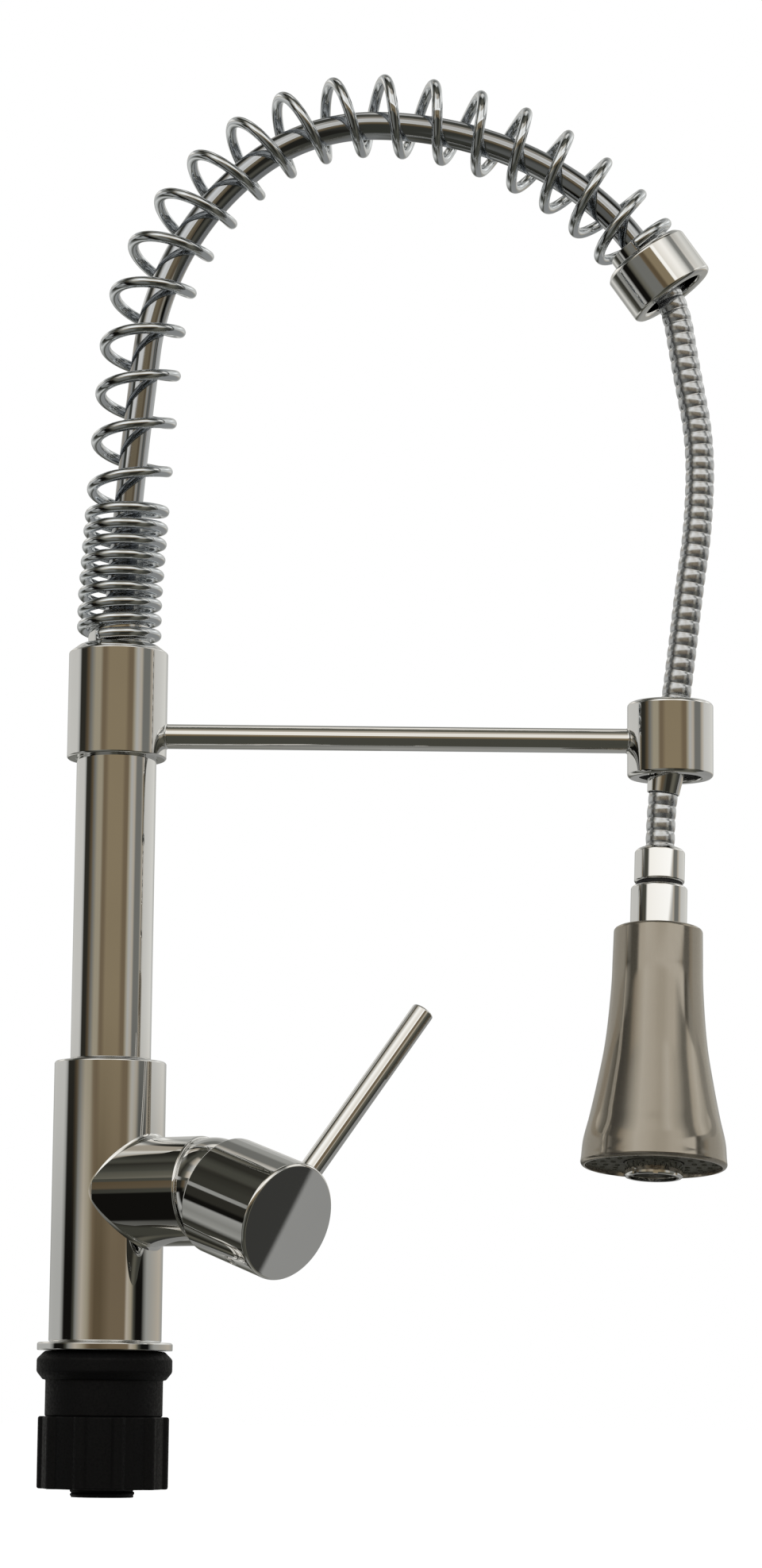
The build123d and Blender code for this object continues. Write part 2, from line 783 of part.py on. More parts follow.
# Ribbed hose: straight ends, ribs between them, all on one steady cross axis
def bent_line(name, points):
    """Straight runs joined by the largest tangent arcs that they allow."""
    radii = []
    for before, here, after in zip(points, points[1:], points[2:]):
        turn = radians((here - before).get_angle(after - here))
        run = min((here - before).length, (after - here).length)
        radii.append(corner_share * run / tan(turn / 2))
    print(name, "radii", [round(r) for r in radii])
    return FilletPolyline(*points, radius=radii)


def ribbed_hose(name, points):
    path = bent_line(name, points)
    length = path.length
    plain = 2 * rib_crest
    count = int((length - 2 * plain) / rib_pitch)
    pitch = (length - 2 * plain) / count
    rings = [(0.0, rib_crest)]
    for i in range(count):
        for share, radius in zip(rib_shares, (rib_valley, rib_crest, rib_crest, rib_valley)):
            rings.append((plain + pitch * (i + share), radius))
    rings = rings + [(length - plain, rib_crest), (length, rib_crest)]
    sections = []
    for along, radius in rings:
        spot = Plane(origin=path @ (along / length), x_dir=(0, 1, 0), z_dir=path % (along / length))
        sections.append(spot * Circle(radius))
    hose = loft(sections, ruled=True)
    bore_start = Plane(origin=path @ 0, x_dir=(0, 1, 0), z_dir=path % 0) * Circle(rib_bore)
    print(name, "length", round(length, 1), "ribs", count)
    return hose - sweep(bore_start, path=path)


def free_hose():
    start = arch_at(arch_length - end_cap_length + end_cap_web)[0]
    upper = [arch_end + Vector(x, 0, z) for x, z in route_from_arch]
    lower = [Vector(dock_reach + x, 0, dock_middle + z) for x, z in route_from_dock]
    foot = [at(dock, free_entry), at(dock, sleeve_top)]
    return ribbed_hose("free hose", [start, arch_end] + upper + lower + foot)


def short_hose():
    points = [at(dock, sleeve_top), at(dock, -short_bend), at(head, -short_entry), at(head, hose_seat)]
    return ribbed_hose("short hose", points)


def dock_sleeve():
    bore = rib_crest + fit_gap
    low = [(bore, -sleeve_tail), (bore + edge, -sleeve_tail), (sleeve_radius, -sleeve_drop)]
    high = [(sleeve_radius, sleeve_top - sleeve_lead), (sleeve_radius - sleeve_lead, sleeve_top)]
    high = high + [(bore, sleeve_top)]
    return dock * turned(low + high)


# Cap at the end of the arch
def spring_end_cap():
    top = end_cap_length
    web = top - end_cap_web
    rim = [(end_cap_bore, end_cap_rim), (end_cap_bore + end_cap_rim, 0), (end_cap_radius - end_cap_rim, 0)]
    side = [(end_cap_radius, end_cap_rim), (end_cap_radius, top - end_cap_top_bevel)]
    crown = [(end_cap_radius - end_cap_top_bevel, top), (spigot_radius, top)]
    crown = crown + [(spigot_radius, top + end_cap_spigot)]
    inside = [(spigot_bore, top + end_cap_spigot), (spigot_bore, top), (grommet_radius, top)]
    return end_cap * turned(rim + side + crown + inside + [(grommet_radius, web), (end_cap_bore, web)])


def hose_grommet():
    top = end_cap_length
    bore = hose_radius + fit_gap
    body = tube(grommet_radius, bore, top - end_cap_web, top)
    return end_cap * (body + tube(grommet_radius + grommet_lip, bore, top, top + grommet_lip))


# Spray head
def hose_nut():
    bore = rib_crest + fit_gap
    top = [(bore, 0), (hose_nut_radius - hose_nut_bevel, 0), (hose_nut_radius, hose_nut_bevel)]
    side = [(hose_nut_radius, hose_nut_length - edge), (hose_nut_radius - edge, hose_nut_length)]
    inner = [(spindle_radius, hose_nut_length), (spindle_radius, hose_seat), (bore, hose_seat)]
    return head * turned(top + side + inner)


def swivel_spindle():
    flange_low = spindle_head + spindle_flange_height
    spindle = rod(hose_tail_radius, -spindle_tail, hose_seat) + rod(spindle_radius, hose_seat, spindle_end)
    spindle = spindle + rod(spindle_flange, spindle_head + fit_gap, flange_low)
    return head * (spindle - rod(spindle_bore, -spindle_tail - overrun, spindle_end + overrun))


def seam_ring():
    start = hose_nut_length
    return head * tube(seam_radius, spindle_radius + fit_gap, start, start + seam_height - fit_gap)


neck_start = hose_nut_length + seam_height
bell_start = neck_start + neck_length


def spray_neck():
    bore = spindle_radius + 2 * fit_gap
    room = spindle_flange + free_gap
    top = [(bore, neck_start), (neck_radius - neck_bevel, neck_start)]
    top = top + [(neck_radius, neck_start + neck_bevel)]
    side = [(neck_radius, bell_start), (neck_tail_radius, bell_start)]
    side = side + [(neck_tail_radius, bell_start + neck_tail)]
    inner = [(room, bell_start + neck_tail), (room, spindle_head), (bore, spindle_head)]
    return head * turned(top + side + inner)


def bell_outline(inset):
    """Points of the bell's flare, from its top edge to its rim, set in by a wall."""
    places = [bell_start + bell_length * share for share in bell_shares]
    return [(radius - inset, 0, place) for radius, place in zip(bell_radii, places)]


def spray_bell():
    bottom = bell_start + bell_length
    outer = bell_outline(0)
    inner = bell_outline(bell_wall)
    roof = bell_start + bell_roof
    flare = Spline(*outer[1:], tangents=((0, 0, 1), (0, 0, 1)))
    shell = Spline(*inner[1:], tangents=((0, 0, 1), (0, 0, 1)))
    top, rim, inside = outer[0], outer[-1], inner[-1]
    lines = [Line((neck_tail_radius, 0, bell_start), (top[0] - bell_top_edge, 0, bell_start))]
    lines.append(Line(lines[-1] @ 1, (top[0], 0, bell_start + bell_top_edge)))
    lines.append(Line(lines[-1] @ 1, flare @ 0))
    lines.append(flare)
    lines.append(Line(rim, (rim[0], 0, bottom - bell_rim_edge)))
    lines.append(Line(lines[-1] @ 1, (rim[0] - bell_rim_edge, 0, bottom)))
    lines.append(Line(lines[-1] @ 1, (inside[0], 0, bottom)))
    lines.append(Line(lines[-1] @ 1, inside))
    lines.append(shell)
    lines.append(Line(shell @ 0, (inner[0][0], 0, roof)))
    lines.append(Line(lines[-1] @ 1, (neck_tail_radius, 0, roof)))
    lines.append(Line(lines[-1] @ 1, lines[0] @ 0))
    return head * revolve(make_face(Wire(lines)), Axis.Z)


bell_end = bell_start + bell_length
face_top = bell_end - face_recess - face_height
mouth_radius = bell_radii[-1] - bell_wall
core_bore = aerator_radius + fit_gap
core_radius = core_bore + core_wall


def spray_core():
    start = bell_start + neck_tail + core_top
    core = tube(core_radius, core_bore, start, face_top)
    roof = tube(core_radius, valve_radius / 2, bell_start + neck_tail, start)
    floor = tube(mouth_radius - free_gap, core_bore, face_top - core_wall, face_top)
    return head * (core + roof + floor)


def check_valve():
    start = bell_start + neck_tail + core_top
    outer = tube(valve_radius, valve_radius - core_wall, start, start + valve_length)
    seat = tube(core_bore, valve_radius - core_wall, start, start + core_wall)
    return head * (outer + seat)


def spray_face():
    face = tube(mouth_radius - fit_gap, face_bore, face_top, face_top + face_height)
    for radius, count in zip(nozzle_ring_radii, nozzle_ring_counts):
        hole = rod(nozzle_radius, face_top - overrun, face_top + face_height + overrun)
        for piece in around(count, radius, hole):
            face = face - piece
    return head * face


def spray_nozzles():
    nubs = []
    for radius, count in zip(nozzle_ring_radii, nozzle_ring_counts):
        nub = tube(nozzle_radius, nozzle_radius / 2, face_top, face_top + face_height + edge)
        nubs = nubs + [head * piece for piece in around(count, radius, nub)]
    return Compound(children=nubs)


def aerator_housing():
    end = bell_end + aerator_drop
    start = end - aerator_length
    bore = aerator_radius - aerator_wall
    wall = [(bore, start), (aerator_radius, start), (aerator_radius, end - edge)]
    housing = turned(wall + [(aerator_radius - edge, end), (bore, end)])
    notch = Pos(0, 0, end) * Box(2 * edge, notch_width, 2 * notch_depth)
    for piece in around(aerator_notches, aerator_radius, notch):
        housing = housing - piece
    return head * housing


def aerator_mesh():
    end = bell_end + aerator_drop - mesh_recess
    bore = aerator_radius - aerator_wall
    rim = tube(bore, bore - mesh_bar, end - mesh_height, end)
    lines = int(2 * bore / mesh_pitch)
    grid = None
    for i in range(1 - lines // 2, lines // 2):
        place = i * mesh_pitch
        half = sqrt((bore - mesh_bar / 2) ** 2 - place**2)
        bar = Pos(place, 0, 0) * Box(mesh_bar, 2 * half, mesh_bar)
        grid = bar if grid is None else grid + bar
        grid = grid + Rot(0, 0, 90) * bar
    return head * (rim + Pos(0, 0, end - mesh_height / 2) * grid)


PIECES = (
    base_plate,
    base_gasket,
    threaded_shank,
    mounting_nut,
    faucet_body,
    cartridge_housing,
    cartridge_seals,
    fixed_disc,
    moving_disc,
    disc_carrier,
    cartridge_rotor,
    pivot_pin,
    lever_stem,
    cartridge_nut,
    bonnet_dome,
    handle_cap,
    lever_rod,
    handle_screw,
    swivel_nipple,
    swivel_rings,
    swivel_washer,
    swivel_clip,
    riser_bush,
    riser_tube,
    support_collar,
    collar_screw,
    collar_seal,
    arm_rod,
    docking_ring,
    dock_bush,
    hose_nipple,
    hose_ferrule,
    arch_hose,
    arch_spring,
    spring_end_cap,
    hose_grommet,
    free_hose,
    dock_sleeve,
    short_hose,
    hose_nut,
    swivel_spindle,
    seam_ring,
    spray_neck,
    spray_bell,
    spray_core,
    check_valve,
    spray_face,
    spray_nozzles,
    aerator_housing,
    aerator_mesh,
)

os.makedirs("parts", exist_ok=True)
for piece in PIECES:
    shape = piece()
    export_step(shape, f"parts/{piece.__name__}.step")
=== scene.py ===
import bmesh
import bpy
import json
from math import acos, cos, pi, radians, sin, sqrt
from mathutils import Matrix, Vector


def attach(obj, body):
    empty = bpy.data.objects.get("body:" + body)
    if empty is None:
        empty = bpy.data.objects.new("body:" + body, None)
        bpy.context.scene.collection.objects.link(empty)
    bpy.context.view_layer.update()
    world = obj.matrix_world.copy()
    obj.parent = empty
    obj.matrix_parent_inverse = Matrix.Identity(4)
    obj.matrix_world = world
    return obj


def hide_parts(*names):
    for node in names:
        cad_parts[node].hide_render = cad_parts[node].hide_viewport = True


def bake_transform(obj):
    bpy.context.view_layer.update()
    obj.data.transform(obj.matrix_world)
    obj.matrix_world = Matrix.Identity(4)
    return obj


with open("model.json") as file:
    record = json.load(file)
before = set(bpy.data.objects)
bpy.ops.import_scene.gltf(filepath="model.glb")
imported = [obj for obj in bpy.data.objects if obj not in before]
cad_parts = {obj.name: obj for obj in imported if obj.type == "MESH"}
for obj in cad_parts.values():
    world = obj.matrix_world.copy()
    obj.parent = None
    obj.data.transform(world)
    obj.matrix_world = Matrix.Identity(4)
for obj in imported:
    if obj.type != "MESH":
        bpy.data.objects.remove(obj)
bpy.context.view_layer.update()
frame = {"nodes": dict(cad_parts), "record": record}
scene = bpy.context.scene
nodes = frame["nodes"]

# Sizes below are in millimetres and degrees, as in the solids. Camera, lamps and floor are in metres.
MM = 0.001
bevel = 0.6  # of most rims
fit = 0.05  # gap between neighbours

# Camera
camera_place = (0.1198, -1.7987, -0.0223)
camera_lean = 8.765  # looking up
camera_roll = 0.569
camera_lens = 92.36
sensor_width = 36.0
nearest_seen = 0.01
farthest_seen = 60.0

# Floor, 35 mm under the shank, so that the nut stays above it all the way down
floor_half = 12.0
floor_height = -0.0995
floor_tone = 0.82
floor_glow = 0.58

# Base plate, shank and mounting nut
plate_radius = 30.0
plate_height = 3.5
gasket_radius = 27.0
gasket_bore = 20.0
gasket_height = 1.6
shank_radius = 14.25
shank_bore = 12.0
shank_drop = 64.0
shank_grip = 14.0
shank_lead = 1.2
thread_pitch = 1.8
thread_groove = 0.7
nut_top = -0.3
nut_bore = 14.4
nut_flange_radius = 30.0
nut_flange_height = 12.6
nut_flange_bevel = 3.5
nut_flange_foot = 2.8
nut_neck_radius = 26.0
nut_neck_height = 16.0
nut_grip_radius = 29.0
nut_grip_height = 31.5
nut_grip_core = 26.9
nut_rib_radius = 3.4
nut_rib_count = 10

# Body and valve branch
body_radius = 25.0
body_top = 128.0
body_bevel = 0.8
branch_azimuth = -32.0
branch_height = 69.5
branch_radius = 24.0
branch_root = 8.0
branch_reach = 52.0
branch_bore = 20.0
branch_bore_depth = 8.0
fillet_least = 0.45  # reach of the fillet beside the branch
fillet_more = 1.9  # what its reach gains above and below the branch

# Bonnet and handle, measured from the pivot of the lever
pivot_reach = 57.0
dome_radius = 23.2
dome_front = 15.0
dome_mouth = 14.4
dome_mouth_floor = 2.0
skirt_radius = 20.0
skirt_bore = 16.0
skirt_length = 2.8
handle_turn = 29.8
handle_lift = 21.0
cap_radius = 26.2
cap_back = 7.9
cap_front = 48.1
cap_bore = 23.6
cap_cavity = 27.0
cap_edge = 1.0
lever_radius = 5.1
lever_root = 21.0
lever_reach = 114.0
lever_set = 40.9
screw_radius = 2.5
screw_set = 33.0

# Riser, collar, arm and docking ring
riser_radius = 18.0
riser_bore = 16.5
riser_bevel = 0.3
washer_height = 0.8
collar_radius = 22.5
collar_length = 52.0
collar_top = 317.0
collar_bevel_run = 4.5
collar_bevel_rise = 3.5
collar_web = 14.0
collar_bore = 7.0
seal_groove = 1.4
spigot_radius = 14.0
spigot_bore = 11.6
spigot_height = 9.0
arm_radius = 5.6
arm_height = 275.8
arm_socket = 3.5
weld_reach = 0.7
weld_length = 0.8
dock_reach = 250.7
dock_bottom = 258.8
dock_height = 34.5
dock_radius = 19.5
dock_bore = 14.0
dock_edge = 1.2
dock_lean = 7.6

# Arch of the neck, from the top of the collar: a straight lead, arcs of radius and turn, a straight tail.
# A least-squares fit to the arch in the photograph gave the arcs
arch_lead = 16.5
arch_arcs = ((165.0, 3.5), (20000.0, 0.32), (131.0, 47.2), (92.5, 38.8), (151.5, 54.7))
arch_tail = 26.0

# Spring, its end cap and the hose inside it
wire_radius = 2.5
coil_radius = 16.75
coil_start = 240.0  # degrees round the neck where the wire begins
seat_pitch = 7.0
closed_pitch = 7.28
open_pitch = 22.9
last_pitch = 19.6
closed_turns = 7.0
blend_turns = 1.1
end_cap_length = 24.0
end_cap_radius = 20.6
end_cap_top_bevel = 2.0
end_cap_rim = 1.2
end_cap_web = 3.0
end_cap_bore = 14.5
end_cap_eye = 9.0
end_cap_spigot = 6.0
inner_hose_radius = 6.47
hose_sag = 4.8
hose_sag_lean = 1.3
hex_height = 4.0  # of the nipple under the hose
barb_length = 16.0  # of the hose that stays straight at each end

# Ribbed hoses
rib_crest = 6.6
rib_valley = 6.0
rib_pitch = 5.9
rib_power = 0.5  # shape of a rib: 1 is a plain wave, less is fuller
plain_end = 10.0  # length without ribs at each end

# Route of the free hose, given as steps in X and Z from the arch end, then from the middle of the ring
route_from_arch = ((5.4, -34.0), (12.4, -70.0))
route_from_dock = ((12.9, 98.2), (8.5, 68.7))
free_entry = 40.0  # above the middle of the ring, where the hose is in line with it
short_bend = 26.0  # below the middle of the ring, where the short hose turns towards the head
short_entry = 9.0  # above the hose nut, where it is in line with the head

# Docking sleeve and spray head, the head measured down its own axis from the top of the hose nut
sleeve_top = 10.0
sleeve_drop = 14.0
sleeve_tail = 24.5
sleeve_radius = 8.5
sleeve_lead = 1.0
head_shift = 4.7
head_drop = 49.8
head_lean = 1.55
head_tip = 6.0
hose_nut_radius = 11.35
hose_nut_length = 15.6
hose_nut_bevel = 1.5
hose_seat = 8.0
spindle_radius = 7.4
seam_height = 1.8
neck_radius = 12.75
neck_bore = 9.5
neck_length = 19.4
neck_lip = 3.5
neck_bevel = 1.0
neck_tail_radius = 10.5
neck_tail = 8.0
bell_length = 107.9
bell_wall = 2.2
bell_roof = 3.0
bell_top_radius = 20.0
bell_radii = (20.3, 21.1, 23.0, 25.8, 29.1, 31.6, 32.3)
bell_shares = (0.156, 0.32, 0.5, 0.648, 0.797, 0.895, 0.965)  # of the bell's length, where it has these radii
bell_rim_slope = 0.1
bell_rim_radius = 32.55


# Camera
def place_camera():
    lean, roll = radians(camera_lean), radians(camera_roll)
    view_line = Vector((0, cos(lean), sin(lean)))
    level_up = Vector((0, -sin(lean), cos(lean)))
    right = Vector((1, 0, 0)) * cos(roll) + level_up * sin(roll)
    upward = level_up * cos(roll) - Vector((1, 0, 0)) * sin(roll)
    camera = bpy.data.objects.new("camera", bpy.data.cameras.new("camera"))
    scene.collection.objects.link(camera)
    spot = Matrix((right, upward, -view_line)).transposed().to_4x4()
    spot.translation = camera_place
    camera.matrix_world = spot
    camera.data.lens = camera_lens
    camera.data.sensor_width = sensor_width
    camera.data.clip_start = nearest_seen
    camera.data.clip_end = farthest_seen
    scene.camera = camera
    scene.view_settings.view_transform = "Standard"


place_camera()


# Helpers for nodes
def put(tree, kind, inputs=None, **settings):
    """New node with its settings, and with its inputs set or linked."""
    made = tree.nodes.new(kind)
    for key, value in settings.items():
        setattr(made, key, value)
    for key, value in (inputs or {}).items():
        socket = made.inputs[key]
        if isinstance(value, bpy.types.NodeSocket):
            tree.links.new(value, socket)
        else:
            socket.default_value = value
    return made


def calc(tree, operation, a, b=0.0, c=0.0):
    return put(tree, "ShaderNodeMath", {0: a, 1: b, 2: c}, operation=operation).outputs[0]


def linear(text, gain=1.0):
    """Colour written as six hexadecimal digits, in linear light."""
    parts = [int(text[i : i + 2], 16) / 255 for i in (0, 2, 4)]
    parts = [p / 12.92 if p <= 0.04045 else ((p + 0.055) / 1.055) ** 2.4 for p in parts]
    return tuple(p * gain for p in parts) + (1.0,)


def ramp(tree, value, stops):
    made = put(tree, "ShaderNodeValToRGB", {0: value})
    band = made.color_ramp
    while len(band.elements) < len(stops):
        band.elements.new(0.5)
    for element, (place, colour) in zip(band.elements, stops):
        element.position = place
        element.color = colour
    return made.outputs[0]


def rise(tree, value, low, high):
    """Smooth step from 0 to 1 between two values."""
    span = {0: value, 1: low, 2: high, 3: 0.0, 4: 1.0}
    return put(tree, "ShaderNodeMapRange", span, interpolation_type="SMOOTHSTEP").outputs[0]


def blend_colour(tree, share, first, second):
    return put(tree, "ShaderNodeMix", {0: share, 6: first, 7: second}, data_type="RGBA").outputs[2]


# Tones that the studio shows in polished metal, rounded from colours sampled in the photograph
METAL = 0.8  # share of the light that chrome gives back
INK = "100f0d"
COAL = "2a2924"
SLATE = "343432"
IRON = "42423b"
UMBER = "564a38"
BROWN = "6a5d4a"
OLIVE = "5c5a50"
SMOKE = "6a6a66"
TAUPE = "80735c"
STONE = "928a78"
DOVE = "7c7c78"
ASH = "888886"
GREY = "8e8e8a"
SAND = "a8a093"
SILVER = "a4a4a1"
FOG = "bcbbb7"
MIST = "cccbc6"
CREAM = "dedad2"
IVORY = "eeebe5"
WHITE = "fbfaf7"

# Belts of the studio from low to high, each as degrees to the right of the front and the tone there.
# They began as colours sampled from the reflections in the photograph and were adjusted against it,
# and a program then rounded them to the tones above and wrote most of these tables
BASE = [
    (-180, GREY), (-166, OLIVE), (-153, IRON), (-132, IRON), (-109, SMOKE), (-94, COAL), (-40, IRON),
    (40, IRON), (100, OLIVE), (180, GREY)]
UNDER = [
    (-180, DOVE), (-169, IRON), (-158, GREY), (-143, MIST), (-133, GREY), (-124, IRON), (-112, COAL),
    (-106, GREY), (-98, DOVE), (-91, INK), (-62, INK), (-54, OLIVE), (-44, SMOKE), (-20, SMOKE),
    (-8, IRON), (4, IRON), (10, COAL), (34, COAL), (48, OLIVE), (60, OLIVE), (74, IRON), (92, SLATE),
    (180, SLATE)]
SHADE = [
    (-180, DOVE), (-169, IRON), (-158, GREY), (-143, MIST), (-133, GREY), (-124, IRON), (-112, COAL),
    (-106, GREY), (-98, DOVE), (-84, SILVER), (-78, INK), (-64, INK), (-56, OLIVE), (-44, SMOKE),
    (-20, SMOKE), (-8, IRON), (4, IRON), (10, COAL), (34, COAL), (48, OLIVE), (60, OLIVE), (74, IRON),
    (92, SLATE), (180, SLATE)]
LOW = [
    (-180, SILVER), (-165, GREY), (-150, SILVER), (-105, SILVER), (-97, DOVE), (-92, INK), (-72, INK),
    (-66, IRON), (-61, DOVE), (-48, SAND), (-36, STONE), (-27, BROWN), (-20, UMBER), (-8, UMBER),
    (12, BROWN), (42, BROWN), (47, SAND), (56, STONE), (62, IRON), (68, INK), (82, INK), (88, SMOKE),
    (95, GREY), (140, SAND), (165, GREY), (180, SILVER)]
HIGH = [
    (-180, FOG), (-165, SILVER), (-150, FOG), (-103, FOG), (-96, SILVER), (-91, COAL), (-77, COAL),
    (-68, UMBER), (-60, SMOKE), (-49, STONE), (-38, STONE), (-31, BROWN), (-25, BROWN), (-16, TAUPE),
    (22, TAUPE), (30, BROWN), (38, BROWN), (43, STONE), (50, SILVER), (60, SAND), (66, SMOKE),
    (82, SMOKE), (90, SAND), (100, FOG), (145, MIST), (165, SILVER), (180, FOG)]
STRIP = [
    (-180, FOG), (-120, SAND), (-88, SILVER), (-76, IRON), (-60, IRON), (-52, IVORY), (66, WHITE),
    (72, IRON), (77, IRON), (84, SILVER), (100, FOG), (112, SILVER), (150, FOG), (180, FOG)]
UPPER = [
    (-180, SILVER), (-158, FOG), (-140, IVORY), (-125, CREAM), (-114, GREY), (-102, OLIVE), (-86, COAL),
    (-78, IRON), (-71, OLIVE), (-64, SAND), (-50, CREAM), (-35, WHITE), (-14, IVORY), (2, CREAM),
    (14, CREAM), (28, IVORY), (42, IVORY), (52, FOG), (62, DOVE), (70, DOVE), (77, CREAM), (90, WHITE),
    (106, MIST), (130, WHITE), (152, MIST), (180, SILVER)]
CROWN = [
    (-180, GREY), (-140, SILVER), (-114, DOVE), (-100, OLIVE), (-86, COAL), (-76, IRON), (-68, SMOKE),
    (-52, MIST), (-35, WHITE), (-10, IVORY), (8, CREAM), (24, WHITE), (33, IVORY), (48, MIST), (60, DOVE),
    (72, DOVE), (80, CREAM), (120, MIST), (180, GREY)]
TOP = [
    (-180, SMOKE), (-161, SMOKE), (-151, SAND), (-140, SMOKE), (-128, INK), (-106, COAL), (-94, IRON),
    (-82, IRON), (-65, SAND), (-44, MIST), (-26, CREAM), (-8, SAND), (44, SAND), (52, COAL), (84, COAL),
    (92, DOVE), (100, DOVE), (130, SILVER), (180, SMOKE)]
ZENITH = [
    (-180, CREAM), (-150, FOG), (-136, GREY), (-124, COAL), (-90, IRON), (0, OLIVE), (90, IRON),
    (125, SMOKE), (142, FOG), (180, CREAM)]

# Heights above the horizon between which a belt takes over from the one below it
BASE_RISE = (-84, -74)
UNDER_RISE = (-53, -46)
SHADE_RISE = (-34, -29)
RISES = (
    (LOW, -5, -2), (HIGH, 1.5, 6), (STRIP, 15.2, 17), (UPPER, 20.4, 21.8), (CROWN, 31, 35), (TOP, 44, 50),
    (ZENITH, 60, 66))
wall_edge = 97.9  # where a grey wall begins, low on the right
wall_blur = 0.08
room_light = 0.55  # what matt surfaces get from the room
PURE_WHITE = (1.0, 1.0, 1.0, 1.0)


def studio():
    """White backdrop for the camera, soft light for matt surfaces and the belts for reflections in metal."""
    world = bpy.data.worlds.new("studio")
    scene.world = world
    world.use_nodes = True
    tree = world.node_tree
    tree.nodes.clear()
    way = put(tree, "ShaderNodeTexCoord").outputs["Generated"]
    unit = put(tree, "ShaderNodeVectorMath", {0: way}, operation="NORMALIZE").outputs[0]
    x, y, z = put(tree, "ShaderNodeSeparateXYZ", {0: unit}).outputs
    turn = calc(tree, "ARCTAN2", x, calc(tree, "MULTIPLY", y, -1.0))
    share = calc(tree, "MULTIPLY_ADD", turn, 1 / (2 * pi), 0.5)
    height = calc(tree, "MULTIPLY", calc(tree, "ARCSINE", z), 180 / pi)

    def round_share(azimuth):
        return (azimuth + 180) / 360

    def belt(table):
        return ramp(tree, share, [(round_share(azimuth), linear(tone, 1 / METAL)) for azimuth, tone in table])

    def over(below, low, high, above):
        return blend_colour(tree, rise(tree, height, low, high), below, above)

    shaded = over(belt(UNDER), *SHADE_RISE, belt(SHADE))
    wall = rise(tree, share, round_share(wall_edge - wall_blur), round_share(wall_edge + wall_blur))
    under = blend_colour(tree, wall, shaded, linear(ASH, 1 / METAL))
    base = over(linear(DOVE, 1 / METAL), *BASE_RISE, belt(BASE))
    seen = over(base, *UNDER_RISE, under)
    for table, low, high in RISES:
        seen = over(seen, low, high, belt(table))
    rays = put(tree, "ShaderNodeLightPath")
    metal = put(tree, "ShaderNodeBackground", {0: seen, 1: 1.0}).outputs[0]
    room = put(tree, "ShaderNodeBackground", {0: PURE_WHITE, 1: room_light}).outputs[0]
    white = put(tree, "ShaderNodeBackground", {0: PURE_WHITE, 1: 1.0}).outputs[0]
    mixed = put(tree, "ShaderNodeMixShader", {0: rays.outputs["Is Glossy Ray"], 1: room, 2: metal}).outputs[0]
    clear = calc(tree, "MAXIMUM", rays.outputs["Is Camera Ray"], rays.outputs["Is Transmission Ray"])
    mixed = put(tree, "ShaderNodeMixShader", {0: clear, 1: mixed, 2: white}).outputs[0]
    put(tree, "ShaderNodeOutputWorld", {0: mixed})


studio()


# Lamps, which light matt surfaces and aren't seen in metal
def lamp(name, place, aim, size, watts):
    light = bpy.data.lights.new(name, "AREA")
    light.shape = "DISK"
    light.size = size
    light.energy = watts
    made = bpy.data.objects.new(name, light)
    scene.collection.objects.link(made)
    made.location = place
    made.rotation_euler = (Vector(aim) - Vector(place)).to_track_quat("-Z", "Y").to_euler()
    made.visible_glossy = False
    made.visible_camera = False


lamp("key", place=(-1.2, -1.6, 1.8), aim=(0.1, 0, 0.25), size=1.4, watts=26)
lamp("fill", place=(1.9, -1.1, 0.9), aim=(0.1, 0, 0.25), size=1.2, watts=12)
lamp("rim", place=(0.4, 1.7, 1.5), aim=(0.1, 0, 0.3), size=1.2, watts=10)

# Materials
drift_scale = 22.0  # of the slow colour drift
noise_low, noise_high = 0.3, 0.7  # where most of a noise lies
gloss_swing = 0.25  # share by which the roughness goes up and down
relief_depth = 0.0004
brush_stretch = 0.03  # how far a brushed grain is drawn out along its axis


def material(name, colour, rough, metal=0.0, drift=0.04, grain=400.0, bump=0.05, along=False, shine=0.5):
    """Plain surface with its own slow colour drift, uneven gloss and fine relief."""
    made = bpy.data.materials.new(name)
    made.use_nodes = True
    tree = made.node_tree
    tree.nodes.clear()
    place = put(tree, "ShaderNodeTexCoord").outputs["Object"]
    slow = put(tree, "ShaderNodeTexNoise", {"Vector": place, "Scale": drift_scale, "Detail": 3.0}).outputs[0]
    fine_place = place
    if along:
        fine_place = put(tree, "ShaderNodeMapping", {0: place, 3: (1.0, 1.0, brush_stretch)}).outputs[0]
    fine = put(tree, "ShaderNodeTexNoise", {"Vector": fine_place, "Scale": grain, "Detail": 4.0}).outputs[0]
    base = linear(colour)
    dark = tuple(c * (1 - drift) for c in base[:3]) + (1.0,)
    light = tuple(min(1.0, c * (1 + drift)) for c in base[:3]) + (1.0,)
    tint = ramp(tree, slow, [(noise_low, dark), (noise_high, light)])
    span = {0: fine, 1: noise_low, 2: noise_high, 3: rough * (1 - gloss_swing), 4: rough * (1 + gloss_swing)}
    gloss = put(tree, "ShaderNodeMapRange", span).outputs[0]
    grain_relief = {"Strength": bump, "Distance": relief_depth, "Height": fine}
    relief = put(tree, "ShaderNodeBump", grain_relief).outputs[0]
    shader = put(tree, "ShaderNodeBsdfPrincipled", {"Base Color": tint, "Roughness": gloss, "Normal": relief})
    shader.inputs["Metallic"].default_value = metal
    shader.inputs["Specular IOR Level"].default_value = shine
    put(tree, "ShaderNodeOutputMaterial", {0: shader.outputs[0]})
    return made


